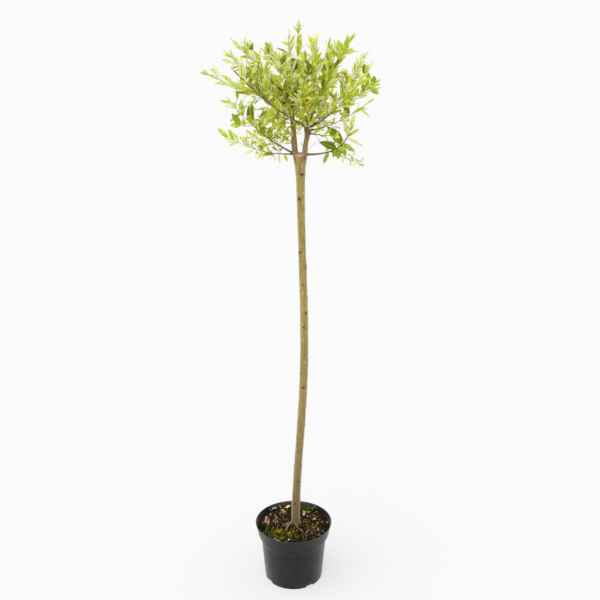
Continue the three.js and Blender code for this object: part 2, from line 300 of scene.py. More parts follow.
def distance_to(line, points):
    """How far each point lies from a line, and the share along it of the nearest place."""
    fine = resampled(line, 300)
    gap = np.linalg.norm(points[:, None] - fine[None], axis=-1)
    return gap.min(1), gap.argmin(1) / len(fine)


def thickness(node, line):
    """A limb's radius near its start and near its tip: how far its vertices lie off its line."""
    off, share = distance_to(line, vertices_of(node))
    return np.median(off[share < 0.4]), np.median(off[share > 0.6])


def volume_centre(node):
    """The centre of a closed solid: its tetrahedra to the origin, each weighted by its volume."""
    a, b, c = np.moveaxis(triangles_of(node), 1, 0)
    volume = np.einsum("ij,ij->i", a, np.cross(b, c))
    return (volume[:, None] * (a + b + c)).sum(0) / (4 * volume.sum())


STEM_LOW, STEM_HIGH = (np.array(corner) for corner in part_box("trunk"))
SOIL_LOW = np.array(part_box("root_ball")[0])
STEM_POINTS = vertices_of("trunk")
FORK = STEM_POINTS[STEM_POINTS[:, 2] > STEM_HIGH[2] - 2 * MM].mean(0)
LEADERS = ["leader_left", "leader_right"]
BOUGHS = sorted(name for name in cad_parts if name.startswith("bough_"))
SPRAYS = sorted(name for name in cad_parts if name.startswith("foliage_"))


def limb_lines():
    """Name to (line, radius at the start, radius at the tip) of each leader and bough."""
    lines = {}
    for name in LEADERS + BOUGHS:
        line = centre_line(name, FORK)
        lines[name] = (line, *thickness(name, line))
    return lines


def nearest_point(point, lines):
    """The point of all the limbs' lines that lies nearest."""
    every = np.concatenate([line for line, _, _ in lines.values()])
    return every[np.linalg.norm(every - point, axis=1).argmin()]


TIP_INSET = 15 * MM
MASS_AT = 0.47
UNSEEN_SHOOT_RADIUS = 1.3 * MM


def shoot_line(name, lines):
    """The line of a leafy shoot: its bough's line, then a parabola through its mass to the tip.

    The parabola starts at the bough's end and passes the mass's centre a little before its middle.
    The line stops short of the mass's tip, which the last leaves reach. Returns the line, the
    share of it that is bare, and its start radius.
    """
    points = vertices_of(name)
    centre = volume_centre(name)
    bough = lines.get(name.replace("foliage_", "bough_"))
    if bough is None:
        nearer = points[np.linalg.norm(points - FORK, axis=1).argmin()]
        start = nearest_point(nearer, lines)
        lower, radius = start[None], UNSEEN_SHOOT_RADIUS
    else:
        start = bough[0][-1]
        lower, radius = bough[0], bough[1]
    tip = points[np.linalg.norm(points - start, axis=1).argmax()]
    tip = tip - unit(tip - centre) * TIP_INSET
    middle = MASS_AT
    pull = (centre - (1 - middle) ** 2 * start - middle ** 2 * tip) / (2 * middle * (1 - middle))
    share = np.linspace(0, 1, 24)[:, None]
    upper = (1 - share) ** 2 * start + 2 * share * (1 - share) * pull + share ** 2 * tip
    line = softened(resampled(np.concatenate([lower, upper[1:]]), 64), 12)
    bare = length_of(lower) / length_of(line) if bough is not None else 0.08
    return line, bare, radius


# ---- Shader parts ----

def add_node(tree, kind, inputs=None, **settings):
    """A shader node with its properties set, and each input given a value or linked to a socket."""
    node = tree.nodes.new(kind)
    for key, value in settings.items():
        setattr(node, key, value)
    for key, value in (inputs or {}).items():
        if isinstance(value, bpy.types.NodeSocket):
            tree.links.new(value, node.inputs[key])
        else:
            node.inputs[key].default_value = value
    return node


def new_look(name, **values):
    """A material whose Principled BSDF has these plain values, its node tree and that shader."""
    look = bpy.data.materials.new(name)
    look.use_nodes = True
    shader = look.node_tree.nodes["Principled BSDF"]
    for socket, value in values.items():
        value = (*value, 1) if isinstance(value, tuple) else value
        shader.inputs[socket.replace("_", " ")].default_value = value
    return look, look.node_tree, shader


def vector_math(tree, operation, first, second=None, **others):
    """The result of one step of vector arithmetic."""
    inputs = {0: first, **others}
    if second is not None:
        inputs[1] = second
    return add_node(tree, "ShaderNodeVectorMath", inputs, operation=operation).outputs[0]


def scaled_by(tree, socket, factor):
    """A value times another."""
    return add_node(tree, "ShaderNodeMath", {0: socket, 1: factor}, operation="MULTIPLY").outputs[0]


def patches_group():
    """Soft patches: noise on object coordinates, shorter across than along z, cut at two levels."""
    tree = bpy.data.node_groups.new("patches", "ShaderNodeTree")
    for name in ("Size", "Stretch", "Low", "High", "Seed"):
        tree.interface.new_socket(name, in_out="INPUT", socket_type="NodeSocketFloat")
    tree.interface.new_socket("Mask", in_out="OUTPUT", socket_type="NodeSocketFloat")
    given = add_node(tree, "NodeGroupInput").outputs
    place = add_node(tree, "ShaderNodeTexCoord").outputs["Object"]
    size = given["Size"]
    tall = scaled_by(tree, size, given["Stretch"])
    cell = add_node(tree, "ShaderNodeCombineXYZ", {"X": size, "Y": size, "Z": tall}).outputs[0]
    scaled = vector_math(tree, "DIVIDE", place, cell)
    cloud = add_node(tree, "ShaderNodeTexNoise", {"Vector": scaled, "W": given["Seed"],
                     "Scale": 1.0, "Detail": 3.0}, noise_dimensions="4D")
    cut = add_node(tree, "ShaderNodeMapRange", {"Value": cloud.outputs["Fac"],
                   "From Min": given["Low"], "From Max": given["High"]},
                   interpolation_type="SMOOTHSTEP")
    add_node(tree, "NodeGroupOutput", {"Mask": cut.outputs["Result"]})
    return tree


PATCHES = patches_group()


def patches(tree, size, stretch=1.0, low=0.4, high=0.6, seed=0.0):
    """The mask of soft patches, placed in a material."""
    values = {"Size": size, "Stretch": stretch, "Low": low, "High": high, "Seed": seed}
    return add_node(tree, "ShaderNodeGroup", values, node_tree=PATCHES).outputs["Mask"]


def mark(tree, name):
    """The value that a piece's vertices carry under this name."""
    return add_node(tree, "ShaderNodeAttribute", attribute_name=name).outputs["Fac"]


def layered(tree, base, layers):
    """A colour with others laid over it in turn, each as strong as its mask."""
    colour = (*base, 1)
    for over, mask in layers:
        mix = add_node(tree, "ShaderNodeMix", data_type="RGBA")
        factor, a, b = (socket for socket in mix.inputs if socket.enabled)
        tree.links.new(mask, factor)
        if isinstance(colour, tuple):
            a.default_value = colour
        else:
            tree.links.new(colour, a)
        b.default_value = (*over, 1)
        colour = next(socket for socket in mix.outputs if socket.enabled)
    return colour


def bumped(tree, shader, height, depth):
    """Relief as deep as `depth` where the height is 1."""
    bump = add_node(tree, "ShaderNodeBump", {"Height": height, "Distance": depth, "Strength": 1.0})
    tree.links.new(bump.outputs["Normal"], shader.inputs["Normal"])
    return bump


def eased_ledge(tree, mask):
    """The surface's normal, turned out level from the Z axis as far as the mask says."""
    place = add_node(tree, "ShaderNodeTexCoord").outputs["Object"]
    out = vector_math(tree, "NORMALIZE", vector_math(tree, "MULTIPLY", place, (1, 1, 0)))
    own = add_node(tree, "ShaderNodeNewGeometry").outputs["Normal"]
    part = vector_math(tree, "SCALE", vector_math(tree, "SUBTRACT", out, own), Scale=mask)
    return vector_math(tree, "NORMALIZE", vector_math(tree, "ADD", own, part))


def bark_look():
    """Smooth ochre bark: green and brown streaks, pale flecks, dark scarring, painted shade, an
    orange callus.

    A fine down that shows at its edges is sheen.
    """
    look, tree, shader = new_look("bark_ochre", Roughness=0.5, Specular_IOR_Level=0.35,
                                  Sheen_Weight=1.0, Sheen_Roughness=0.45,
                                  Sheen_Tint=(1.0, 0.95, 0.82))
    colour = layered(tree, (0.325, 0.235, 0.046), [
        ((0.205, 0.180, 0.026), patches(tree, 8 * MM, 12, 0.46, 0.66, 1)),
        ((0.21, 0.115, 0.034), scaled_by(tree, patches(tree, 4 * MM, 9, 0.54, 0.70, 2), 0.8)),
        ((0.56, 0.46, 0.21), scaled_by(tree, patches(tree, 2.2 * MM, 5, 0.54, 0.64, 3), 0.6)),
        ((0.31, 0.155, 0.050), mark(tree, "red")),
        ((0.10, 0.05, 0.022), scaled_by(tree, patches(tree, 1.3 * MM, 2.5, 0.66, 0.74, 4), 0.6)),
        ((0.132, 0.078, 0.012), mark(tree, "brown")),
        ((0.42, 0.185, 0.040), mark(tree, "callus")),
        ((0.74, 0.60, 0.46), mark(tree, "lip")),
        # This dark mark also paints shade at the stem's foot and on the left leader's right side.
        ((0.055, 0.026, 0.012), mark(tree, "scar_and_shade")),
    ])
    tree.links.new(colour, shader.inputs["Base Color"])
    bumped(tree, shader, patches(tree, 0.9 * MM, 7, 0.3, 0.7, 5), 0.2 * MM)
    return look


def young_bark_look():
    """Thin bark of young shoots: green-brown, dark on old wood, red where marked, pale pores."""
    look, tree, shader = new_look("bark_young", Roughness=0.5, Specular_IOR_Level=0.35)
    colour = layered(tree, (0.33, 0.30, 0.036), [
        ((0.24, 0.16, 0.030), patches(tree, 3 * MM, 5, 0.45, 0.6, 6)),
        ((0.150, 0.092, 0.020), mark(tree, "old")),
        ((0.34, 0.060, 0.035), mark(tree, "red")),
        ((0.40, 0.31, 0.11), scaled_by(tree, patches(tree, 0.8 * MM, 1.5, 0.66, 0.72, 7), 0.4)),
    ])
    tree.links.new(colour, shader.inputs["Base Color"])
    bumped(tree, shader, patches(tree, 0.6 * MM, 4, 0.3, 0.7, 8), 0.12 * MM)
    return look


def plastic_look():
    """Black moulded plastic: satin, with duller scuffs, dust as sheen, a faint orange peel, painted
    shade inside and a painted highlight at the rim.
    """
    look, tree, shader = new_look("plastic_black", Specular_IOR_Level=0.27,
                                  Sheen_Weight=0.34, Sheen_Roughness=0.38,
                                  Sheen_Tint=(1.0, 1.0, 1.0))
    colour = layered(tree, (0.006, 0.006, 0.0065), [
        ((0.013, 0.013, 0.012), patches(tree, 26 * MM, 1.6, 0.4, 0.7, 9)),
        ((0.05, 0.046, 0.038), scaled_by(tree, patches(tree, 2.5 * MM, 1, 0.66, 0.8, 10), 0.3)),
        # Painted shade on the inner wall.
        ((0.0035, 0.0030, 0.0038), mark(tree, "inside")),
        # Painted highlight on the rim and the inner wall's back.
        ((0.10, 0.10, 0.098), mark(tree, "painted_highlight")),
    ])
    tree.links.new(colour, shader.inputs["Base Color"])
    dull = add_node(tree, "ShaderNodeMapRange", {"Value": patches(tree, 9 * MM, 2.5, 0.3, 0.7, 11),
                    "To Min": 0.36, "To Max": 0.48})
    tree.links.new(dull.outputs["Result"], shader.inputs["Roughness"])
    gloss = add_node(tree, "ShaderNodeMapRange", {"Value": mark(tree, "matt"),
                     "To Min": 0.22, "To Max": 0.04})
    tree.links.new(gloss.outputs["Result"], shader.inputs["Specular IOR Level"])
    peel = bumped(tree, shader, patches(tree, 1.1 * MM, 1, 0.2, 0.8, 12), 0.05 * MM)
    tree.links.new(eased_ledge(tree, mark(tree, "ledge")), peel.inputs["Normal"])
    return look


def peat_look():
    """Dark brown peat, lighter where dry, and green-stained under the moss."""
    look, tree, shader = new_look("peat", Roughness=0.95, Specular_IOR_Level=0.02)
    colour = layered(tree, (0.020, 0.011, 0.005), [
        ((0.080, 0.048, 0.022), patches(tree, 5 * MM, 1, 0.50, 0.60, 13)),
        ((0.003, 0.002, 0.002), patches(tree, 2.4 * MM, 1, 0.50, 0.56, 14)),
        ((0.24, 0.17, 0.10), patches(tree, 1.2 * MM, 1, 0.64, 0.70, 15)),
        ((0.045, 0.042, 0.008), mark(tree, "moss")),
    ])
    tree.links.new(colour, shader.inputs["Base Color"])
    bumped(tree, shader, patches(tree, 0.8 * MM, 1, 0.3, 0.7, 16), 0.5 * MM)
    return look


def plain_look(name, colour, roughness=0.8):
    """One dull colour all over."""
    return new_look(name, Base_Color=colour, Roughness=roughness, Specular_IOR_Level=0.04)[0]


def plain_looks(colours):
    """A list of plain looks, from their names and colours."""
    return [plain_look(name, colour) for name, colour in colours.items()]


def thin_look(name, face):
    """A thin leaf: a satin face mixed with the light that comes through it, brighter and purer."""
    look, tree, shader = new_look(name, Base_Color=face, Roughness=0.55,
                                  Specular_IOR_Level=0.2)
    glow = tuple(min(1.0, 1.1 * value ** 0.9) for value in face)
    through = add_node(tree, "ShaderNodeBsdfTranslucent", {"Color": (*glow, 1)})
    mix = add_node(tree, "ShaderNodeMixShader", {"Fac": 0.45, 1: shader.outputs["BSDF"],
                   2: through.outputs["BSDF"]})
    tree.links.new(mix.outputs["Shader"], tree.nodes["Material Output"].inputs["Surface"])
    return look


# ---- Leaves ----

LEAF_ROWS = np.linspace(0, 1, 8)
LEAF_COLUMNS = np.array([-1, -0.62, -0.06, 0.06, 0.62, 1])
RIB = 2

# The body of each kind of leaf, the blotches on it, and how much of it they cover.
LEAF_KINDS = {
    "deep": ((0.140, 0.210, 0.006), (0.28, 0.35, 0.020), 0.12),
    "olive": ((0.450, 0.455, 0.013), (0.74, 0.75, 0.080), 0.25),
    "mid": ((0.490, 0.590, 0.035), (0.77, 0.82, 0.240), 0.22),
    "lime": ((0.660, 0.715, 0.027), (0.91, 0.92, 0.260), 0.25),
    "sage": ((0.670, 0.740, 0.290), (0.90, 0.91, 0.680), 0.30),
    "pale": ((0.900, 0.910, 0.480), (0.95, 0.95, 0.800), 0.35),
    "cream": ((0.950, 0.940, 0.760), (0.84, 0.86, 0.420), 0.25),
    "green": ((0.280, 0.370, 0.016), (0.50, 0.58, 0.100), 0.15),
    "blush": ((0.850, 0.560, 0.370), (0.92, 0.82, 0.580), 0.30),
}
KIND_NAMES = list(LEAF_KINDS)

# How often each kind grows in the crown's heart, and at its outside. The outside's paler leaves are
# partly young growth and partly painted light, and the heart's darker ones are partly painted shade.
IN_HEART = np.array([0.04, 0.24, 0.24, 0.36, 0.02, 0.05, 0.03, 0.02, 0.0])
OUTSIDE = np.array([0.00, 0.00, 0.26, 0.13, 0.31, 0.18, 0.10, 0.02, 0.0])


def blade_grid(blades, rows, columns, blunt=0.8):
    """Points of thin blades, as (blade, row, column, xyz).

    The middle of each is an arc of its length that turns by its bend away from its face. Its half
    width is a sine of the share along it, raised to `blunt`, and its sides rise by its fold.
    """
    base, heading, face, length, width, bend, fold = blades
    arc = bend[:, None] * rows
    forward = rows * np.sinc(arc / np.pi)
    down = rows * np.sin(arc / 2) * np.sinc(arc / 2 / np.pi)
    side = np.cross(heading, face)
    middle = base[:, None] + length[:, None, None] * (
        forward[..., None] * heading[:, None] - down[..., None] * face[:, None])
    lifted = np.cos(arc)[..., None] * face[:, None] + np.sin(arc)[..., None] * heading[:, None]
    half = width[:, None] / 2 * (0.06 + 0.94 * np.sin(np.pi * rows ** 0.9) ** blunt)
    across = half[..., None] * columns
    rise = np.abs(across) * np.tan(fold)[:, None, None]
    return (middle[:, :, None] + across[..., None] * side[:, None, None]
            + rise[..., None] * lifted[:, :, None])


def leaves_piece(name, blades, looks, look_of_face):
    """Leaves as one mesh, whose UV map runs across and along each leaf."""
    grid = blade_grid(blades, LEAF_ROWS, LEAF_COLUMNS)
    u, v = np.meshgrid(LEAF_ROWS, (LEAF_COLUMNS + 1) / 2, indexing="ij")
    uv = np.broadcast_to(np.stack([v, u], -1), (len(grid), *u.shape, 2))
    quads = grid_quads(len(LEAF_ROWS), len(LEAF_COLUMNS), len(grid))
    return add_piece(name, grid, quads, looks=looks, look_of_face=look_of_face, uv=uv)


def leaf_faces(count, share):
    """Which look each face of `count` leaves takes: body 0, blotch 1, rib 2.

    Blotches fall by chance, at twice their share on the margins and half of it beside the rib.
    """
    strips = len(LEAF_COLUMNS) - 1
    chance = np.full(strips, 0.5 * share)
    chance[[0, -1]] = 2.0 * share
    blotched = random.random((count, len(LEAF_ROWS) - 1, strips)) < chance
    looks = blotched.astype(int)
    looks[:, :, RIB] = 2
    return looks


# How the shoots differ from the usual: the step between leaf pairs and the leaves' length in mm,
# how far the leaves open, how many nodes carry a twig and how long these are, how many spurs its
# bare foot carries, how light its leaves are (partly painted light and shade, shoot by shoot) and
# how peach, how thick its wood is, and how much smaller its last leaves are.
USUAL = dict(step=12, leaf=38, spread=0.66, twigs=0.42, twig=26, spurs=2, light=0.0, peach=0.0,
             thin=1.0, taper=0.35)
HABITS = {
    "droop_left": dict(step=14, leaf=29, spread=0.9, twigs=0.35, spurs=3, light=0.1, thin=0.75),
    "droop_right": dict(step=17, leaf=19, spread=0.8, twigs=0.0, spurs=0, light=-0.1),
    "low_right_tip": dict(step=16, leaf=24, twigs=0.1, spurs=0, light=0.05),
    "low_left": dict(step=21, leaf=32, twigs=0.2, spurs=2, light=0.0, thin=0.7),
    "far_left": dict(step=10, leaf=36, twigs=0.2, spurs=5, light=0.05, taper=0.75),
    "high_left": dict(step=12.5, leaf=35, twigs=0.3, spurs=5, light=-0.05, taper=0.5),
    "side_left": dict(leaf=38, spurs=4, light=-0.1),
    "long_cut_side": dict(step=10.5, leaf=40, twigs=0.7, spurs=0, light=0.2),
    "peach_left": dict(step=11, leaf=15, spread=0.5, twigs=0.1, twig=12, spurs=0, light=0.5,
                       peach=0.7),
    "peach_right": dict(step=11, leaf=15, spread=0.5, twigs=0.15, twig=16, spurs=0, light=0.5,
                        peach=0.7),
    "peak": dict(step=19, leaf=30, spread=0.42, twigs=0.1, spurs=0),
    "peak_left": dict(step=11, leaf=36, twigs=0.4, light=0.3),
    "back_high": dict(step=17, leaf=29, twigs=0.2),
    "heart": dict(step=8, leaf=33, twigs=0.9, twig=42, light=-0.15),
    "front_left": dict(step=8.5, leaf=29, twigs=0.8, twig=36, spurs=3, light=0.32),
    "front_right": dict(step=8, leaf=29, twigs=0.85, twig=32, spurs=3, light=-0.22),
    "inner_right": dict(step=19, leaf=20, twigs=0.1, twig=20, spurs=0, light=-0.6, thin=0.8),
    "crest": dict(step=9.5, leaf=35, twigs=0.7, twig=38, light=0.02),
    "bunch": dict(step=9.5, leaf=35, twigs=0.7, twig=36, light=0.08),
    "high_right": dict(step=7.5, leaf=34, twigs=0.45, twig=24, spread=0.42, light=0.15),
    "far_right": dict(step=9.5, leaf=35, twigs=0.5, twig=28, spurs=4, light=-0.03, thin=0.75),
    "side_right": dict(step=9.5, leaf=35, twigs=0.5, twig=32, spurs=4, light=-0.12, thin=0.75),
    "arch_right": dict(step=11.5, leaf=34, twigs=0.45, twig=28, spurs=4, light=-0.12, thin=0.75),
    "reach_right": dict(step=18, leaf=29, twigs=0.15, spurs=0, light=-0.12, thin=0.7),
}

# Each shoot draws from its own seed, so that a change to one leaves the others as they are.
SHOOT_SEED = 40

# Spurs on limbs that bear leaves without a mass of their own: how many, from where to where along
# the limb, and how long in mm.
SPURS = {
    "leader_left": (14, 0.5, 1.0, 42),
    "leader_right": (7, 0.86, 1.0, 32),
    "bough_long_cut": (14, 0.10, 0.86, 40),
    "bough_low_right": (2, 0.55, 0.85, 20),
}

# Twigs laid one by one: name, limb, share along it, reach to the tip and sag in mm, radius in mm,
# and the length of its leaves in mm (0 for a bare twig).
LAID_TWIGS = [
    ("bare_left", "leader_left", 0.74, (-122, -34, 14), 9, 0.75, 0),
    ("bare_straight", "leader_right", 0.08, (34, -16, 34), 0, 0.3, 0),
    ("side_low", "leader_right", 0.90, (14, -8, -6), 1, 0.9, 0),
    ("bare_right", "side_low", 0.95, (30, -12, -32), 4, 0.4, 0),
    ("side_high", "leader_right", 0.97, (38, -20, -5), 1, 0.8, 0),
    ("crotch", "leader_right", 0.10, (-8, -10, 20), 0, 0.5, 13),
    ("lower_1", "leader_left", 0.22, (-44, -14, 12), 3, 0.7, 28),
    ("lower_4", "leader_left", 0.42, (-62, -12, -8), -5, 0.8, 31),
    ("lower_6", "leader_left", 0.54, (-66, -22, 2), -5, 0.8, 33),
    ("lower_7", "leader_left", 0.60, (-40, -30, -16), -4, 0.7, 29),
    ("lower_8", "leader_left", 0.66, (-52, 6, -20), -4, 0.7, 29),
    ("lower_9", "leader_left", 0.14, (-26, -18, 22), 0, 0.6, 24),
    ("lower_10", "leader_left", 0.26, (-15, -20, 16), 0, 0.5, 25),
    ("lower_11", "leader_left", 0.34, (-24, -22, -14), 0, 0.5, 26),
    ("lower_left_side", "low_left", 0.62, (-27, -8, 1), 2, 0.7, 0),
    ("lower_left_up", "low_left", 0.40, (-16, 12, 24), 0, 0.7, 30),
    ("lower_left_in", "low_left", 0.24, (4, 12, 30), 0, 0.6, 27),
    ("lower_left_mid", "low_left", 0.50, (6, 12, 28), 0, 0.6, 29),
    ("lower_left_out", "low_left", 0.30, (-20, 12, 26), 0, 0.6, 28),
    ("cut_down_1", "bough_long_cut", 0.24, (-22, -14, -26), 0, 0.7, 30),
    ("cut_down_2", "bough_long_cut", 0.36, (-14, -18, -22), 0, 0.7, 28),
    ("cut_up_1", "bough_long_cut", 0.62, (-8, 14, 42), 2, 0.8, 36),
    ("cut_up_2", "bough_long_cut", 0.78, (-12, 18, 34), 2, 0.8, 38),
    ("cut_up_3", "bough_long_cut", 0.50, (2, -16, 44), 2, 0.8, 34),
    ("cut_down_3", "bough_long_cut", 0.50, (-10, -12, -28), 0, 0.7, 32),
    ("cut_down_4", "bough_long_cut", 0.66, (-14, -10, -22), 0, 0.7, 32),
    ("under_1", "low_left", 0.26, (-26, 8, -4), 2, 0.6, 28),
    ("under_2", "low_left", 0.38, (-26, 8, -9), 2, 0.6, 29),
    ("under_3", "low_left", 0.50, (-26, 8, -14), 2, 0.6, 30),
    ("droop_up_1", "droop_left", 0.22, (-12, -8, 22), 0, 0.6, 26),
    ("droop_up_2", "droop_left", 0.36, (-14, 8, 24), 0, 0.6, 28),
    ("droop_up_4", "droop_left", 0.66, (-16, -8, 18), 0, 0.6, 26),
    ("fill_right_2", "reach_right", 0.36, (14, 12, -16), 0, 0.6, 27),
    ("fill_right_3", "side_right", 0.45, (-10, -10, 16), 0, 0.6, 30),
    ("fill_right_4", "reach_right", 0.50, (8, -6, 16), 0, 0.6, 28),
    ("fill_right_5", "side_right", 0.55, (12, -14, -12), 0, 0.6, 29),
    ("fill_right_6", "side_right", 0.35, (6, -16, 6), 0, 0.6, 29),
    ("fill_right_7", "side_right", 0.72, (8, -14, -14), 0, 0.6, 28),
    ("fill_right_8", "side_right", 0.12, (-8, -10, 26), 0, 0.6, 29),
    ("fill_right_9", "side_right", 0.30, (-10, -12, 22), 0, 0.6, 28),
    ("veil_1", "leader_left", 0.78, (-14, -30, 22), 0, 0.6, 30),
    ("veil_2", "leader_left", 0.90, (6, -30, 20), 0, 0.6, 30),
    ("veil_3", "leader_left", 0.66, (-4, -26, 30), 0, 0.6, 28),
    ("veil_4", "leader_left", 0.97, (-12, -20, 6), 0, 0.6, 30),
    ("veil_5", "leader_left", 0.84, (-10, -20, 10), 0, 0.6, 30),
    ("far_right_up", "far_right", 0.84, (8, -6, 20), 0, 0.6, 0),
    ("gap_1", "leader_left", 0.42, (10, -14, 8), 0, 0.5, 22),
    ("gap_2", "leader_left", 0.30, (12, -12, 14), 0, 0.5, 20),
    ("lower_12", "leader_left", 0.30, (-18, -18, 8), 0, 0.5, 24),
    ("hanging", "low_right_tip", 0.08, (46, -12, -34), 8, 0.5, 20),
]

# The largest leaves: limb, share along it, heading, length and width in mm, and kind.
LARGE_LEAVES = [
    ("low_left", 0.66, (0.02, 0.15, 0.97), 42, 16, "deep"),
    ("low_left", 0.54, (-0.50, 0.2, 0.85), 44, 13, "mid"),
    ("low_left", 0.58, (-0.25, 0.3, 0.95), 36, 9, "sage"),
    ("low_left", 0.44, (-0.25, 0.2, 0.92), 32, 13, "green"),
    ("low_left", 0.34, (-0.05, 0.2, 0.95), 28, 12, "green"),
    ("lower_left_side", 0.88, (-0.55, -0.3, 0.80), 32, 13, "green"),
    ("lower_left_side", 0.92, (-1.0, -0.2, 0.05), 22, 12, "mid"),
    ("lower_left_side", 0.60, (-0.2, -0.3, 0.95), 18, 9, "mid"),
    ("low_left", 0.85, (0.15, -0.2, 0.95), 21, 5, "sage"),
    ("low_left", 0.82, (-0.80, -0.2, -0.60), 28, 8, "green"),
    ("low_left", 0.99, (-0.95, -0.2, 0.15), 24, 7, "mid"),
    ("droop_left", 0.99, (-0.72, -0.3, 0.75), 28, 11, "mid"),
    ("droop_left", 0.88, (-0.35, -0.3, 0.90), 29, 11, "mid"),
    ("droop_left", 0.14, (0.35, -0.3, -0.9), 18, 7, "mid"),
    ("droop_left", 0.84, (-0.98, -0.2, 0.1), 26, 5, "sage"),
    ("droop_left", 0.46, (-0.45, -0.3, 0.85), 22, 10, "green"),
    ("droop_left", 0.36, (-0.30, -0.3, 0.9), 19, 6, "sage"),
    ("droop_left", 0.22, (0.1, -0.4, -0.9), 23, 6, "sage"),
    ("droop_left", 0.30, (-0.95, -0.3, -0.1), 24, 8, "green"),
    ("low_right_tip", 0.16, (-0.60, -0.55, 0.72), 58, 20, "deep"),
    ("bough_low_right", 0.90, (-0.86, -0.6, 0.42), 46, 16, "deep"),
    ("bough_low_right", 0.66, (-0.42, -0.2, -0.9), 28, 9, "green"),
    ("bough_low_right", 0.94, (-0.35, -0.5, -0.6), 24, 12, "green"),
    ("bough_low_right", 0.99, (-0.10, -0.4, -0.8), 27, 14, "green"),
    ("low_right_tip", 0.10, (0.35, -0.4, -0.8), 26, 11, "green"),
    ("low_right_tip", 0.18, (0.80, -0.3, -0.50), 30, 11, "green"),
    ("low_right_tip", 0.45, (0.90, -0.2, -0.35), 41, 7, "sage"),
    ("low_right_tip", 0.55, (-0.25, -0.2, 0.95), 42, 12, "sage"),
    ("low_right_tip", 0.42, (-0.83, 0.15, -0.50), 34, 9, "pale"),
    ("low_right_tip", 0.92, (0.3, -0.3, 0.9), 30, 10, "sage"),
    ("hanging", 0.15, (-0.10, -0.3, -0.95), 30, 6, "sage"),
    ("hanging", 0.62, (-0.05, -0.2, -0.95), 24, 6, "pale"),
    ("hanging", 0.55, (0.2, -0.2, 0.95), 24, 4, "sage"),
    ("arch_right", 0.93, (-0.05, -0.3, 0.9), 23, 9, "deep"),
    ("reach_right", 0.60, (0.05, -0.3, 0.9), 31, 15, "deep"),
    ("reach_right", 0.66, (-0.75, -0.3, 0.2), 25, 8, "deep"),
    ("reach_right", 0.84, (0.75, -0.2, -0.6), 29, 6, "sage"),
    ("reach_right", 0.72, (0.72, -0.2, 0.5), 30, 8, "mid"),
    ("far_right", 0.97, (0.1, -0.4, 0.85), 24, 13, "green"),
    ("far_right_up", 0.95, (0.05, -0.4, 0.9), 21, 10, "green"),
    ("far_right", 0.92, (-0.5, -0.4, 0.75), 24, 10, "mid"),
    ("far_right", 0.84, (-0.2, -0.4, 0.85), 20, 10, "green"),
    ("peak", 0.35, (-0.15, -0.5, 0.85), 31, 15, "deep"),
    ("peak", 0.62, (0.15, -0.2, 0.95), 43, 14, "mid"),
    ("peak", 0.97, (0.05, -0.1, 0.99), 26, 10, "sage"),
    ("peach_left", 0.72, (0.9, -0.4, -0.15), 31, 7, "cream"),
    ("peach_left", 0.66, (-0.9, -0.3, 0.3), 29, 7, "pale"),
    ("peach_left", 0.88, (-0.75, -0.3, 0.55), 17, 7, "lime"),
    ("peach_left", 0.76, (-0.75, -0.3, 0.4), 30, 5, "green"),
    ("peak", 0.58, (-0.38, -0.5, -0.8), 37, 6, "cream"),
    ("bunch", 0.80, (-0.1, -0.3, 0.95), 30, 14, "green"),
    ("bunch", 0.93, (0.3, -0.3, 0.9), 30, 8, "sage"),
    ("high_right", 0.62, (-0.1, -0.3, 0.95), 46, 9, "mid"),
    ("high_right", 0.76, (0.3, -0.3, 0.9), 30, 10, "mid"),
    ("high_right", 0.86, (-0.35, -0.3, 0.85), 27, 10, "mid"),
    ("high_right", 0.92, (0.25, -0.3, 0.9), 24, 9, "lime"),
    ("peak_left", 0.80, (-0.35, -0.3, 0.9), 39, 13, "green"),
    ("peak_left", 0.60, (-0.75, -0.3, 0.6), 30, 10, "mid"),
    ("back_left", 0.96, (-0.5, -0.1, 0.85), 30, 11, "mid"),
    ("high_left", 0.97, (-0.65, -0.3, 0.7), 30, 9, "sage"),
    ("far_left", 0.99, (-0.95, -0.2, 0.3), 20, 4, "blush"),
    ("far_left", 0.98, (-0.60, -0.2, 0.7), 15, 3.5, "blush"),
    ("far_left", 0.90, (-0.90, -0.2, -0.35), 18, 4, "pale"),
    ("far_left", 0.45, (-0.95, -0.3, 0.15), 34, 11, "green"),
    ("far_left", 0.62, (0.0, -0.3, -0.95), 27, 7, "green"),
    ("far_left", 0.52, (-0.7, -0.4, 0.5), 36, 13, "sage"),
    ("far_left", 0.72, (-0.9, -0.2, 0.1), 32, 9, "sage"),
    ("bough_long_cut", 0.76, (-0.10, 0.3, 0.95), 42, 14, "green"),
    ("bough_long_cut", 0.90, (-0.12, 0.2, 0.95), 29, 5, "sage"),
    ("bough_long_cut", 0.35, (-0.30, -0.3, 0.9), 31, 12, "lime"),
    ("bough_long_cut", 0.45, (-0.20, -0.3, -0.9), 22, 12, "lime"),
    ("bough_long_cut", 0.38, (-0.1, -0.3, -0.95), 30, 10, "green"),
    ("bough_long_cut", 0.28, (-0.5, -0.3, -0.8), 28, 9, "mid"),
    ("front_right", 0.03, (0.3, -0.8, 0.35), 21, 10, "cream"),
    ("front_right", 0.01, (-0.3, -0.8, 0.5), 19, 9, "pale"),
    ("side_low", 0.98, (0.7, -0.4, 0.5), 15, 9, "mid"),
    ("front_left", 0.90, (0.3, -0.5, 0.7), 30, 12, "deep"),
    ("crest", 0.90, (0.1, -0.3, 0.9), 30, 8, "sage"),
    ("crest", 0.95, (-0.45, -0.3, 0.85), 26, 12, "lime"),
]


# The middle of the crown and its half widths, level.
CROWN_PLACE = (0.03, 0.02)
CROWN_REACH = (0.17, 0.15)


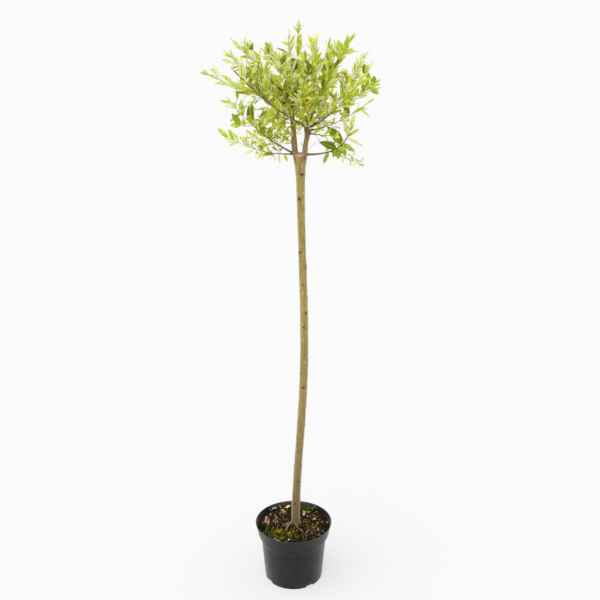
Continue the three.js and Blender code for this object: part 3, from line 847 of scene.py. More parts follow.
class Crown:
    """The leaves and twigs, as they grow. Leaves face up, and out from the crown's heart."""

    def __init__(self, low, high):
        """An empty crown between two heights."""
        self.heart = np.array([*CROWN_PLACE, (low + high) / 2])
        self.reach = np.array([*CROWN_REACH, (high - low) / 2])
        self.leaves = {kind: [] for kind in KIND_NAMES}
        self.shoots = []
        self.twigs = []

    def kind_at(self, point, habit, outer):
        """A kind by chance: the further out and up, the more it is the outside's mixture (up is
        painted light).
        """
        place = (point - self.heart) / self.reach
        out = np.linalg.norm(place) * 0.8 + 0.3 * outer - 0.25 + habit["light"]
        # Painted light: leaves high in the crown take more of the outside's paler mixture.
        out += 0.3 * max(0, place[2] - 0.1)
        out = np.clip(out, 0, 1)
        chances = (IN_HEART * (1 - out) + OUTSIDE * out) * (1 - habit["peach"] * outer)
        chances[-1] = habit["peach"] * outer ** 2
        return KIND_NAMES[random.choice(len(chances), p=chances / chances.sum())]

    def add_leaf(self, kind, base, heading, roll, length, width):
        """A leaf whose face looks up along its shoot, rolled a little about its own rib."""
        face = UP + 0.8 * unit(base - self.heart)
        face = unit(face - heading * (heading @ face))
        side = np.cross(heading, face)
        face = face * math.cos(roll) + side * math.sin(roll)
        self.leaves[kind].append((base, heading, face, length, width))

    def add_facing_leaf(self, kind, base, heading, length, width):
        """A leaf turned with its face to the front, as far as its heading lets it."""
        face = UP * 0.4 - np.array([0, 1, 0])
        face = unit(face - heading * (heading @ face))
        self.leaves[kind].append((base, heading, face, length, width))

    def add_pair(self, line, share, turn, spread, size, kinds):
        """Two leaves on opposite sides of a node, spread from the shoot and lifted a little."""
        point, tangent, side, other = frame_at(line, share)
        for kind, half_turn in zip(kinds, (0, np.pi)):
            angle = turn + half_turn + random.normal(0, 0.3)
            out = side * np.cos(angle) + other * np.sin(angle)
            opening = spread * random.uniform(0.7, 1.3)
            heading = tangent * np.cos(opening) + out * np.sin(opening)
            heading = heading + UP * random.uniform(-0.02, 0.3)
            length = size * random.uniform(0.55, 1.25)
            width = length * random.uniform(0.22, 0.38)
            self.add_leaf(kind, point, unit(heading), random.normal(0, 0.8), length, width)

    def add_tuft(self, line, habit, count):
        """The small folded leaves at the tip of a shoot."""
        tangent = unit(line[-1] - line[-4])
        for _ in range(count):
            heading = unit(tangent + random.normal(0, 0.17, 3))
            length = random.uniform(0.35, 0.62) * habit["leaf"] * MM
            kind = self.kind_at(line[-1], habit, 1)
            base = line[-1] - tangent * random.uniform(0, 6) * MM
            self.add_leaf(kind, base, heading, random.uniform(-3, 3), length, length * 0.28)

    def grow_shoot(self, line, bare, radius, habit):
        """Leaf pairs at even nodes, each turned a quarter from the last, with twigs beside some."""
        length = length_of(line)
        share, turn = bare, random.uniform(0, np.pi)
        while share < 0.985:
            outer = (share - bare) / (1 - bare)
            turn += np.pi / 2 + random.normal(0, 0.2)
            size = habit["leaf"] * MM * (1 - habit["taper"] * outer ** 3)
            point = frame_at(line, share)[0]
            kinds = [self.kind_at(point, habit, outer) for _ in range(2)]
            self.add_pair(line, share, turn, habit["spread"] * (1.1 - 0.5 * outer), size, kinds)
            if random.random() < habit["twigs"] and outer < 0.88:
                self.grow_twig(line, share, turn + np.pi / 2, outer, habit)
            share += habit["step"] * random.uniform(0.8, 1.2) * MM / length
        for place in random.uniform(0.2, 1.0, habit["spurs"]) * bare:
            self.grow_spur(line, place, habit["twig"], habit)
        self.add_tuft(line, habit, 4)
        along = np.linspace(0, 1, len(line))
        radii = np.interp(along, [0, bare, 1], [radius, radius * 0.6, 0.35 * MM])
        red = np.maximum(0.25 * along * random.random(), 0.7 * habit["peach"])
        old = 1 - smoothstep(along, 0.7 * bare, 1.1 * bare + 0.15)
        radii = radii * habit["thin"] + SWELLING * np.exp(-along * length / SWELLING_LENGTH)
        self.shoots.append((line, radii, red, old))

    def grow_twig(self, line, share, turn, outer, habit):
        """A side twig that leaves its shoot at about 40 degrees."""
        point, tangent, side, other = frame_at(line, share)
        turn += np.pi * (random.random() < 0.5)
        out = side * np.cos(turn) + other * np.sin(turn)
        length = habit["twig"] * MM * random.uniform(0.6, 1.25) * (1 - 0.4 * outer)
        heading = unit(tangent * 0.78 + out * 0.62 + UP * random.uniform(-0.05, 0.2))
        self.leafy_twig(point, heading, length, outer, habit)

    def grow_spur(self, line, share, reach, habit):
        """A short twig on an older limb, that leaves it more squarely and has smaller leaves."""
        point, tangent, side, other = frame_at(line, share)
        turn = random.uniform(0, 2 * np.pi)
        out = side * np.cos(turn) + other * np.sin(turn) - np.array([0, 0.35, 0])
        heading = unit(tangent * 0.4 + out * 0.75 + UP * 0.3)
        smaller = {**habit, "leaf": habit["leaf"] * 0.78, "light": habit["light"] + 0.15}
        self.leafy_twig(point, heading, reach * MM * random.uniform(0.5, 1.1), 0.3, smaller)

    def leafy_twig(self, point, heading, length, outer, habit):
        """A twig along a parabola that bends up from its heading."""
        bend = UP * random.uniform(0.0, 0.45) + heading * 0.2
        along = np.linspace(0, 1, 8)[:, None]
        twig = point + length * (along * heading + along ** 2 * bend * 0.5)
        self.dress(twig, 0.7, outer, habit)

    def dress(self, twig, radius, outer, habit):
        """Leaf pairs along a twig and a tuft at its tip, unless its leaves have no length."""
        length = length_of(twig)
        turn, place = random.uniform(0, np.pi), 0.3
        while place < 1.0 and habit["leaf"]:
            turn += np.pi / 2 + random.normal(0, 0.2)
            size = 0.85 * habit["leaf"] * MM * (1 - 0.25 * place)
            kinds = [self.kind_at(twig[0], habit, max(outer, place * 0.8)) for _ in range(2)]
            spread = habit["spread"] * (1 - 0.35 * place)
            self.add_pair(twig, min(place, 0.99), turn, spread, size, kinds)
            place += habit["step"] * 0.8 * random.uniform(0.8, 1.2) * MM / length
        if habit["leaf"]:
            self.add_tuft(twig, habit, 2)
        red = np.full(len(twig), random.uniform(0, 0.3))
        old = np.full(len(twig), 0.2 if habit["leaf"] else 0.9)
        self.twigs.append((twig, np.linspace(radius, 0.3, len(twig)) * MM, red, old))


def frame_at(line, share):
    """A point of a line, the tangent there and two directions square to it."""
    place = share * (len(line) - 1)
    low = int(min(place, len(line) - 2))
    step = line[low + 1] - line[low]
    tangent = unit(step)
    side = np.cross(tangent, UP if abs(tangent[2]) < 0.99 else RIGHT)
    side = unit(side)
    return line[low] + (place - low) * step, tangent, side, np.cross(side, tangent)


def grow_crown(lines):
    """Every shoot with its leaves, then the spurs, the listed twigs and the largest leaves."""
    global random
    low = min(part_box(name)[0][2] for name in SPRAYS)
    high = max(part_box(name)[1][2] for name in SPRAYS)
    crown = Crown(low, high)
    paths = {name: line for name, (line, _, _) in lines.items()}
    for name in SPRAYS:
        short = name.removeprefix("foliage_")
        paths[short], bare, radius = shoot_line(name, lines)
        random = np.random.default_rng(SHOOT_SEED + SPRAYS.index(name))
        crown.grow_shoot(paths[short], bare, radius, {**USUAL, **HABITS.get(short, {})})
    for limb, (count, first, last, reach) in SPURS.items():
        for share in np.linspace(first, last, count):
            crown.grow_spur(paths[limb], share, reach, USUAL)
    for name, limb, share, reach, sag, radius, leaf in LAID_TWIGS:
        random = np.random.default_rng(len(name) + int(1000 * share))
        start = frame_at(paths[limb], share)[0]
        along = np.linspace(0, 1, 8)[:, None]
        paths[name] = start + along * np.array(reach) * MM - 4 * sag * MM * along * (1 - along) * UP
        crown.dress(paths[name], radius, 0.5, {**USUAL, "leaf": leaf, "spread": 0.8})
    for limb, share, heading, length, width, kind in LARGE_LEAVES:
        point = frame_at(paths[limb], share)[0]
        crown.add_facing_leaf(kind, point, unit(np.array(heading)), length * MM, width * MM)
    return crown


def add_leaves(crown):
    """The leaves, joined kind by kind."""
    rib = thin_look("leaf_rib", (0.50, 0.54, 0.15))
    for kind, (body, blotch, share) in LEAF_KINDS.items():
        base, heading, face, length, width = (np.array(part) for part in zip(*crown.leaves[kind]))
        bend = random.uniform(-0.15, 0.75, len(base))
        fold = random.uniform(0.08, 0.45, len(base))
        looks = [thin_look("leaf_" + kind, body), thin_look("blotch_" + kind, blotch), rib]
        blades = (base, heading, face, length, width, bend, fold)
        piece = leaves_piece("leaves_" + kind, blades, looks, leaf_faces(len(base), share))
        belongs(piece, "foliage", *(SPRAYS if kind == "mid" else ()))


# ---- Wood ----

# Boughs swell by this much where they start, and the swelling dies away over this length.
SWELLING = 1.0 * MM
SWELLING_LENGTH = 16 * MM
TWIG_SIDES = 5

# Knots on the stem: height, place across the front (-1 left, 1 right), width and height in mm.
FRONT_KNOTS = [
    (1055, -0.82, 4, 12), (1060, 0.85, 9, 10), (1038, -1.0, 3, 14), (1023, 0.35, 7, 5),
    (969, -0.37, 6, 7), (947, 0.92, 6, 7), (846, -0.55, 6, 5), (811, 0.87, 5, 6),
    (769, -0.08, 3.5, 3.5), (738, 0.88, 4, 7), (701, 0.5, 5, 5), (674, 1.0, 7, 4),
    (667, -0.15, 4, 4), (600, 0.03, 3, 3), (551, -0.75, 5, 5), (515, 0.0, 8, 4),
    (513, 0.95, 5, 4), (266, 0.32, 5, 4), (204, -0.26, 5, 6),
]

# Heights in mm of the faint rings round the stem.
RINGS = [469, 416, 302]
STEM_ROWS, STEM_TURNS = 900, 64

# Millimetres, and how wide a knot's Gaussian is for its listed size.
STEM_RADIUS = 9
CALLUS_HEIGHT = 1062
KNOT_SIZE = 0.62
BACK_KNOTS = 14


def stem_shape():
    """The stem's centre and radius as functions of height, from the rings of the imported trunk."""
    height = STEM_POINTS[:, 2]
    edges = np.linspace(STEM_LOW[2] - MM, STEM_HIGH[2] + MM, 18)
    ring = np.digitize(height, edges)
    rings = [STEM_POINTS[ring == k] for k in np.unique(ring)]
    middles = np.array([points.mean(0) for points in rings])
    x, y = (np.polyfit(middles[:, 2], middles[:, k], 6) for k in (0, 1))

    def centre(z):
        """The middle of the stem at a height."""
        return np.stack([np.polyval(x, z), np.polyval(y, z)], -1)

    off = [np.linalg.norm(points[:, :2] - centre(points[:, 2]), axis=1) for points in rings]
    radii = [np.median(gaps[gaps > 4 * MM]) for gaps in off]
    radii[0] = radii[1]

    def radius(z):
        """The stem's radius at a height."""
        return np.interp(z, middles[:, 2], radii)

    return centre, radius


def angle_from(turn, angle):
    """How far round one angle lies from another, from -pi to pi."""
    return np.angle(np.exp(1j * (turn - angle)))


def stem_marks(z, turn):
    """How deep in a knot, and in the callus, each point of the stem lies.

    A knot is a Gaussian in height and in the arc round the stem; the sum of all is cut at 1.
    """
    back = [(random.uniform(180, 1000), turn, random.uniform(3, 6), random.uniform(2.5, 4))
            for turn in random.uniform(0.4, 2.7, BACK_KNOTS)]
    knots = [(high, -math.acos(across), wide, tall) for high, across, wide, tall in FRONT_KNOTS]
    core, collar = np.zeros_like(z), np.zeros_like(z)
    for high, angle, wide, tall in knots + back:
        arc = angle_from(turn, angle) * STEM_RADIUS / (wide * KNOT_SIZE)
        rise = (z / MM - high) / (tall * KNOT_SIZE)
        reach = arc ** 2 + rise ** 2
        core += np.exp(-reach)
        collar += np.exp(-reach / 4)
    for high in RINGS:
        collar += 0.5 * np.exp(-((z / MM - high) / 3) ** 2)
    arc = angle_from(turn, -math.pi / 2 - 0.25) * 13 / 8
    rise = (z / MM - CALLUS_HEIGHT) / 10
    flat = np.stack([arc * 8, rise * 10, 0 * arc], -1)
    ragged = 0.9 * noise(flat * [1, 0.4, 1], 2.5) + 0.5 * np.maximum(-rise, 0) * (arc + 0.4)
    callus = smoothstep(-(arc ** 2 + rise ** 2 + ragged), -1.7, -0.8)
    callus = callus * (0.85 + 0.25 * noise(flat, 1.8, 8))
    return np.minimum(core, 1), np.minimum(collar, 1.5), np.clip(callus, 0, 1)


def add_stem(look):
    """The stem: rings round its centre line, with bark relief, knots, a root flare and a domed top.

    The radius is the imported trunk's and half a millimetre or more, plus noise stretched along the
    stem, plus each knot's raised collar less its sunk core, plus a flare of five lobes that dies
    away above the soil. The last rings close in as a quarter circle does.
    """
    centre, radius = stem_shape()
    low, high = STEM_LOW[2] - 12 * MM, STEM_HIGH[2] - MM
    z, turn = np.meshgrid(np.linspace(low, high, STEM_ROWS), full_turn(STEM_TURNS), indexing="ij")
    around = np.stack([np.cos(turn) * STEM_RADIUS * MM, np.sin(turn) * STEM_RADIUS * MM, z], -1)
    core, collar, callus = stem_marks(z, turn)
    r = radius(z) + 0.5 * MM + 0.25 * MM * smoothstep(-z, -850 * MM, -650 * MM)
    r = r + 0.14 * MM * noise(around * [1, 1, 0.08], 1.5 * MM, 1)
    r = r + 0.40 * MM * noise(around * [1, 1, 0.4], 13 * MM, 2)
    r = r + 0.25 * MM * noise(around, 5 * MM, 3)
    r = r + 1.8 * MM * smoothstep(z, 1036 * MM, 1062 * MM)
    r = r + 0.9 * MM * collar - 1.5 * MM * core + 0.5 * MM * callus * noise(around, 3 * MM, 4)
    above_soil = np.maximum(z - STEM_LOW[2] - 5 * MM, -9 * MM)
    r = r + 3.6 * MM * np.exp(-above_soil / (8 * MM)) * (0.6 + 0.4 * np.cos(5 * turn + 0.8))
    r = r * np.sqrt(1 - smoothstep(z, high - 9 * MM, high) ** 2 * 0.97)
    xy = centre(z) + np.stack([np.cos(turn), np.sin(turn)], -1) * r[..., None]
    points, quads, triangles = capped(np.concatenate([xy, z[..., None]], -1))
    # Painted shade: the stem darkens down to the soil, most on its right side.
    painted_foot_shade = 0.5 * smoothstep(-z, -STEM_LOW[2] - 16 * MM, -STEM_LOW[2])
    painted_foot_shade = painted_foot_shade * (0.6 + 0.4 * np.cos(turn))
    brown = 0.24 * smoothstep(-z, -700 * MM, -560 * MM)
    brown += 0.30 * smoothstep(-z, -520 * MM, -340 * MM)
    brown += 0.30 * smoothstep(-z, -370 * MM, -170 * MM)
    front = np.exp(-(np.sin(turn / 2 + math.pi / 4) / 0.4) ** 2)
    lip = 0.8 * front * np.exp(-((z - high + 5 * MM) / (1.6 * MM)) ** 2)
    crown_of_stem = 0.9 * smoothstep(z, high - 3 * MM, high - MM)

    def with_ends(values):
        """A mark given on the grid, with the two points that close the ends."""
        return np.concatenate([values.ravel(), values[0, :1], values[-1, :1]])

    # This dark mark holds the knots' cores, the stem's top and the painted shade at its foot.
    scar_and_shade = np.maximum(np.minimum(core * 1.3, 1), np.maximum(painted_foot_shade, crown_of_stem))
    marks = {"scar_and_shade": with_ends(scar_and_shade), "callus": with_ends(callus), "brown": with_ends(brown),
             "lip": with_ends(lip)}
    piece = add_piece("stem", points, quads, triangles, [look], marks=marks)
    belongs(piece, "bark", "trunk")
    return centre


def add_leaders(lines, stem_centre, look):
    """The two leaders: each swells out of the stem's side and ends in a knob where shoots leave."""
    rings, sides = 120, 28
    paths, radii, red, scar_and_shade = [], [], [], []
    for name, redness in zip(LEADERS, (0.1, 0.8)):
        line, base, tip = lines[name]
        root_height = line[0, 2] - 42 * MM
        root = np.array([*stem_centre(root_height), root_height])
        line = softened(resampled(np.concatenate([root[None], line[2:]]), rings), 60)
        share = np.linspace(0, 1, rings)
        if name == "leader_left":
            line[:, 0] -= 2.6 * MM * np.exp(-((share - 0.28) / 0.2) ** 2)
        radius = 0.93 * (base + (tip - base) * share) + 1.6 * MM * np.exp(-(share / 0.45) ** 2)
        radius += (1.5 + 1.5 * redness) * MM * np.exp(-((share - 0.95) / 0.13) ** 2)
        paths.append(line)
        radii.append(radius)
        red.append(np.full(rings, redness) * smoothstep(share, 0.1, 0.5))
        scar_and_shade.append(0.75 * np.exp(-((share - 1) / (0.2 + 0.06 * redness)) ** 2))
    points, quads, triangles = tubes(np.array(paths), np.array(radii), sides)
    centres = on_tubes(np.array(paths)[..., 0], sides), on_tubes(np.array(paths)[..., 1], sides)
    out = points[:, :2] - np.stack(centres, -1)
    rough = 0.3 * noise(points * [1, 1, 0.3], 4 * MM, 5)
    rough += 0.12 * noise(points * [1, 1, 0.1], 1.5 * MM, 6)
    points[:, :2] += out * rough[:, None] * 0.35
    # Painted shade: the left leader's side that faces right, toward the other leader, goes dark
    # through the mark for dark scarring.
    painted_side_shade = smoothstep(out[:, 0] / np.maximum(np.linalg.norm(out, axis=1), 1e-6), 0.45, 1.0)
    painted_side_shade[len(points) // 2:] = 0
    scars_and_shade = np.maximum(on_tubes(np.array(scar_and_shade), sides), 0.55 * painted_side_shade)
    marks = {"red": on_tubes(np.array(red), sides), "scar_and_shade": scars_and_shade,
             "brown": 0.4 * (1 - smoothstep(points[:, 0] / MM, 0, 24))}
    piece = add_piece("leaders", points, quads, triangles, [look], marks=marks)
    belongs(piece, "bark", *LEADERS)


def noded(radii, line, step=11 * MM):
    """Radii with a slight swelling at each node, where a leaf pair grows or grew."""
    along = np.linspace(0, length_of(line), len(radii))
    return radii * (1 + 0.16 * np.exp(-((along % step - step / 2) / (1.2 * MM)) ** 2))


def add_limbs(lines, crown, look):
    """The boughs run on into the leafy shoots; those with no leaves end in a cut or a tip."""
    rings, sides = 96, 10
    paths, radii, reds, olds = [], [], [], []
    leafy = [name.replace("foliage_", "bough_") for name in SPRAYS]
    for name in BOUGHS:
        if name in leafy:
            continue
        line, base, tip = lines[name]
        line = resampled(line, rings)
        paths.append(line)
        share = np.linspace(0, 1, rings)
        cut = name == "bough_long_cut"
        swollen = np.exp(-share * length_of(line) / SWELLING_LENGTH)
        swollen = (2.6 if cut else 1.0) * SWELLING * swollen
        radii.append(noded(np.linspace(base, tip, rings) * (1.05 if cut else 0.85) + swollen, line))
        reds.append(smoothstep(share, 0.6, 0.95) if cut else 0.25 * (1 - share))
        olds.append(np.full(rings, 0.3 if cut else 0.8))
    for line, radius, red, old in crown.shoots:
        along = np.linspace(0, 1, len(line))
        even = np.linspace(0, 1, rings)
        line = resampled(line, rings)
        paths.append(line)
        radii.append(noded(np.interp(even, along, radius), line))
        reds.append(np.interp(even, along, red))
        olds.append(np.interp(even, along, old))
    points, quads, triangles = tubes(np.array(paths), np.array(radii), sides)
    marks = {"red": on_tubes(np.array(reds), sides), "old": on_tubes(np.array(olds), sides)}
    piece = add_piece("boughs", points, quads, triangles, [look], marks=marks)
    belongs(piece, "young_bark", *BOUGHS)
    paths, radii, reds, olds = (np.array(part) for part in zip(*crown.twigs))
    points, quads, triangles = tubes(paths, radii, TWIG_SIDES)
    marks = {"red": on_tubes(reds, TWIG_SIDES), "old": on_tubes(olds, TWIG_SIDES)}
    piece = add_piece("twigs", points, quads, triangles, [look], marks=marks)
    belongs(piece, "young_bark")


# ---- Pot ----

# The pot's outline, round from the middle of its underside to the middle of its floor: radius and
# height in mm.
POT_OUTLINE = np.array([
    (0.5, 0), (30, 0), (34, 4), (60, 4), (64, 0), (71.7, 0), (72.9, 12), (80.2, 100),
    (82.2, 111), (88.2, 119), (89.8, 127), (94.6, 149.2), (95, 150), (93.3, 150), (87.4, 121),
    (78.8, 110), (70, 1.5), (65, 1.5), (61, 5.5), (33, 5.5), (29, 1.5), (0.5, 1.5)])
POT_TURNS = 384
LEDGE_HEIGHT = 115.5 * MM

# The foot's notches: how many, where the first lies and half its width in degrees, and its lift.
NOTCHES, NOTCH_TURN, NOTCH_HALF, NOTCH_LIFT = 4, 33.75, 8.0, 4.0 * MM
DRAINS, DRAIN_CIRCLE, DRAIN_RADIUS = 8, 47.0 * MM, 5.0 * MM


def rounded(profile, reach, steps=4):
    """A profile whose inner corners are parabolas from `reach` before to `reach` after each."""
    profile = np.asarray(profile, float)
    before, corner, after = profile[:-2], profile[1:-1], profile[2:]
    near = np.minimum(np.linalg.norm(corner - before, axis=1),
                      np.linalg.norm(after - corner, axis=1))
    cut = np.minimum(reach, 0.45 * near)[:, None]
    start, end = corner + unit(before - corner) * cut, corner + unit(after - corner) * cut
    t = np.linspace(0, 1, steps + 1)[:, None, None]
    arcs = (1 - t) ** 2 * start + 2 * t * (1 - t) * corner + t ** 2 * end
    return np.concatenate([profile[:1], np.moveaxis(arcs, 0, 1).reshape(-1, 2), profile[-1:]])


def add_pot(look):
    """The pot: a rounded outline turned about Z, with its foot ring lifted at the notches.

    A painted highlight ramps up with height on the inner wall's back and on the rim, and painted
    shade darkens the inner wall, least at its back.
    """
    at_ledge = (POT_OUTLINE[1:-1, 1] > 98) & (POT_OUTLINE[1:-1, 1] < 130)
    outline = rounded(rounded(POT_OUTLINE, np.where(at_ledge, 6.0, 2.2)), 1.2, steps=1)
    r, z = (outline * MM).T
    turn = full_turn(POT_TURNS)
    spacing = 360 / NOTCHES
    off = np.abs((np.degrees(turn) - NOTCH_TURN + spacing / 2) % spacing - spacing / 2)
    gate = 1 - smoothstep(off, NOTCH_HALF - 1.2, NOTCH_HALF + 1.2)
    in_ring = smoothstep(r, 62 * MM, 63.5 * MM) * np.clip(1 - z / (10 * MM), 0, 1)
    height = z[:, None] + NOTCH_LIFT * in_ring[:, None] * gate
    rings = np.stack([r[:, None] * np.cos(turn), r[:, None] * np.sin(turn), height], -1)
    points, quads, triangles = capped(rings)
    out = np.hypot(points[:, 0], points[:, 1])
    inside = (out < 93.6 * MM) & (out < 82 * MM + (points[:, 2] - 111 * MM) * 0.3)
    back = smoothstep(points[:, 1] / out.max(), 0.6, 0.95)
    # Painted highlight: the inner wall lightens towards the rim, most at its back, and the rim's top
    # is lighter.
    painted_highlight = inside * smoothstep(points[:, 2], 132 * MM, 148 * MM) * (0.06 + 0.6 * back)
    painted_highlight = np.maximum(painted_highlight, 0.3 * smoothstep(points[:, 2], 148.6 * MM, 149.8 * MM))
    # Painted shade: the inner wall is darkened, least at its back; the same mark lowers its gloss.
    shaded = inside * (1 - 0.7 * back)
    above_ledge = points[:, 2] - LEDGE_HEIGHT
    matt = 0.3 * np.exp(-(above_ledge / (4.5 * MM)) ** 2) * (1 - inside) + shaded
    ledge = 0.85 * np.exp(-(above_ledge / (5 * MM)) ** 2) * (1 - inside)
    piece = add_piece("pot_shell", points, quads, triangles, [look],
                      marks={"painted_highlight": painted_highlight, "matt": matt, "inside": shaded, "ledge": ledge})
    drill_drains(piece)
    belongs(piece, "pot_plastic", "pot")


def drill_drains(pot):
    """Cuts the drain holes with upright cylinders on a circle, and keeps only the finished mesh."""
    circle = DRAIN_RADIUS * level_circle(full_turn(24))
    heights = np.array([-3, 9])[:, None, None] * MM * UP
    middles = DRAIN_CIRCLE * level_circle(np.radians(NOTCH_TURN) + full_turn(DRAINS))
    drill = add_piece("drill", *joined([capped(circle + heights + middle) for middle in middles]))
    modifier = pot.modifiers.new("drains", "BOOLEAN")
    modifier.object = drill
    modifier.operation = "DIFFERENCE"
    shaped = pot.evaluated_get(bpy.context.evaluated_depsgraph_get())
    mesh = bpy.data.meshes.new_from_object(shaped)
    pot.modifiers.clear()
    pot.data = mesh
    bpy.data.objects.remove(drill)


# ---- Soil, moss and litter ----

SOIL_EDGE = 90.8 * MM
SOIL_LEVEL = 138 * MM
SOIL_TURNS = 300
STEM_AT = 3 * MM

# Moss: centre, half widths in mm, its kind and how many stems it has.
MOSS = [
    ((-26, -44), (38, 24), "bright", 2600),
    ((-76, -8), (14, 30), "dark", 700),
    ((-60, -28), (18, 16), "dark", 500),
    ((38, 74), (36, 15), "green", 1000),
    ((47, -11), (15, 13), "olive", 420),
    ((-22, 56), (15, 10), "olive", 320),
]
MOSS_COLOURS = {
    "bright": (0.27, 0.235, 0.014),
    "green": (0.095, 0.115, 0.014),
    "olive": (0.21, 0.17, 0.030),
    "dark": (0.060, 0.075, 0.014),
}


def moss_cover(x, y):
    """How mossy the soil is: for each patch, 1 well inside its ellipse and 0 outside."""
    cover = np.zeros_like(x)
    edge = 0.25 * noise(np.stack([x, y, 0 * x], -1), 9 * MM, 30)
    for (cx, cy), (rx, ry), _, _ in MOSS:
        far = np.hypot((x / MM - cx) / rx, (y / MM - cy) / ry) + edge
        cover = np.maximum(cover, smoothstep(-far, -1.05, -0.55))
    return cover


def soil_height(x, y):
    """The soil's height: level, heaped at the stem, with crumbs of four sizes and moss cushions."""
    place = np.stack([x, y, 0 * x], -1)
    heap = 8.5 * np.exp(-(np.hypot(x - STEM_AT, y) / (24 * MM)) ** 2)
    crumbs = 2.0 * noise(place, 15 * MM, 31) + 1.3 * noise(place, 6 * MM, 32)
    crumbs = crumbs + 1.0 * np.abs(noise(place, 3.2 * MM, 33)) + 0.4 * noise(place, 1.5 * MM, 34)
    moss = moss_cover(x, y) * (1.6 + 2.4 * noise(place, 9 * MM, 35))
    sunk = 4.0 * smoothstep(np.hypot(x, y), 78 * MM, 92 * MM)
    return SOIL_LEVEL + (heap + crumbs + moss - sunk - 0.5) * MM


def inside_pot(points):
    """Points that would cross the pot's wall, brought back level to 1.2 mm inside it."""
    wall = 87.4 * MM + 0.2 * (points[..., 2] - 121 * MM) - 1.2 * MM
    shrink = np.minimum(1, wall / np.hypot(points[..., 0], points[..., 1]))
    return points * np.stack([shrink, shrink, np.ones_like(shrink)], -1)


def add_soil(look):
    """The root ball: a polar grid for its top, closed down the pot's wall to its underside."""
    turn = full_turn(SOIL_TURNS)
    top = np.linspace(SOIL_EDGE, 0.4 * MM, 110)
    x, y = top[:, None] * np.cos(turn), top[:, None] * np.sin(turn)
    surface = np.stack([x, y, soil_height(x, y)], -1)
    wall = np.array([(0.4 * MM, SOIL_LOW[2]), (69 * MM, SOIL_LOW[2]), (78.2 * MM, 109 * MM),
                     (86.8 * MM, 121 * MM), (89.6 * MM, 131 * MM)])
    lower = np.stack([wall[:, :1] * np.cos(turn), wall[:, :1] * np.sin(turn),
                      np.repeat(wall[:, 1:], SOIL_TURNS, axis=1)], -1)
    rings = np.concatenate([lower, surface])
    points, quads, triangles = capped(rings)
    moss = moss_cover(points[:, 0], points[:, 1])
    piece = add_piece("soil", points, quads, triangles, [look], marks={"moss": moss})
    belongs(piece, "peat", "root_ball")


def scattered(count, reach=88 * MM, hole=9 * MM):
    """Random places on the soil, evenly over the ring between the stem and the pot."""
    far = np.sqrt(random.uniform(hole ** 2, reach ** 2, count))
    turn = random.uniform(0, 2 * np.pi, count)
    return far * np.cos(turn), far * np.sin(turn)


def pebbles(x, y, size, flat=0.7):
    """Uneven lumps on the soil: icosahedra whose corners move in and out by chance."""
    golden = (1 + math.sqrt(5)) / 2
    corners = np.array([(0, a, b * golden) for a in (-1, 1) for b in (-1, 1)], float)
    corners = unit(np.concatenate([np.roll(corners, k, axis=1) for k in range(3)]))
    gap = np.linalg.norm(corners[:, None] - corners[None], axis=-1)
    faces = np.array([(a, b, c) for a, b, c in itertools.combinations(range(12), 3)
                      if max(gap[a, b], gap[b, c], gap[a, c]) < 1.2])
    a, b, c = np.moveaxis(corners[faces], 1, 0)
    inward = np.einsum("ij,ij->i", np.cross(b - a, c - a), a) < 0
    faces[inward] = faces[inward][:, [0, 2, 1]]
    shape = corners * random.uniform(0.6, 1.25, (len(x), 12, 1)) * [1, 1, flat]
    turn = random.uniform(0, 2 * np.pi, len(x))
    cos, sin = np.cos(turn)[:, None], np.sin(turn)[:, None]
    long = shape[..., 0] * random.uniform(0.8, 1.7, (len(x), 1))
    turned = np.stack([long * cos - shape[..., 1] * sin, long * sin + shape[..., 1] * cos,
                       shape[..., 2]], -1)
    middle = np.stack([x, y, soil_height(x, y) + size * 0.25], -1)
    points = inside_pot(middle[:, None] + turned * size[:, None, None])
    triangles = np.arange(len(x))[:, None, None] * 12 + faces
    return points.reshape(-1, 3), triangles.reshape(-1, 3)


CRUMB_COLOURS = {
    "crumb_dark": (0.014, 0.008, 0.004),
    "crumb_brown": (0.075, 0.043, 0.021),
    "crumb_light": (0.22, 0.145, 0.085),
}
CRUMB_SHARES = [0.56, 0.37, 0.07]
CRUMBS, SMALL_GRIT = 2400, 40

# Where the larger grains of grit lie, in mm.
LARGE_GRIT = [(33, -30), (37, -27), (41, -24), (-46, -58), (-41, -63), (-36, -67), (-74, -36),
              (62, -46), (-11, -66), (35, 82), (58, 62)]


def add_crumbs():
    """Crumbs of peat in three browns, and grit: white grains, larger ones where they lie."""
    x, y = scattered(CRUMBS)
    size = random.gamma(3.0, 0.34, CRUMBS) * MM + 0.3 * MM
    points, triangles = pebbles(x, y, size)
    kind = random.choice(len(CRUMB_SHARES), CRUMBS, p=CRUMB_SHARES)
    piece = add_piece("crumbs", points, triangles=triangles, looks=plain_looks(CRUMB_COLOURS),
                      look_of_face=np.repeat(kind, 20))
    belongs(piece, "peat")
    large = np.array(LARGE_GRIT) * MM
    x, y = scattered(SMALL_GRIT)
    x, y = np.concatenate([large[:, 0], x]), np.concatenate([large[:, 1], y])
    size = random.uniform(1.5, 2.4, len(large)), random.uniform(0.5, 1.0, SMALL_GRIT)
    points, triangles = pebbles(x, y, np.concatenate(size) * MM)
    white = plain_look("grit_white", (0.75, 0.72, 0.64))
    belongs(add_piece("grit", points, triangles=triangles, looks=[white]), "peat")


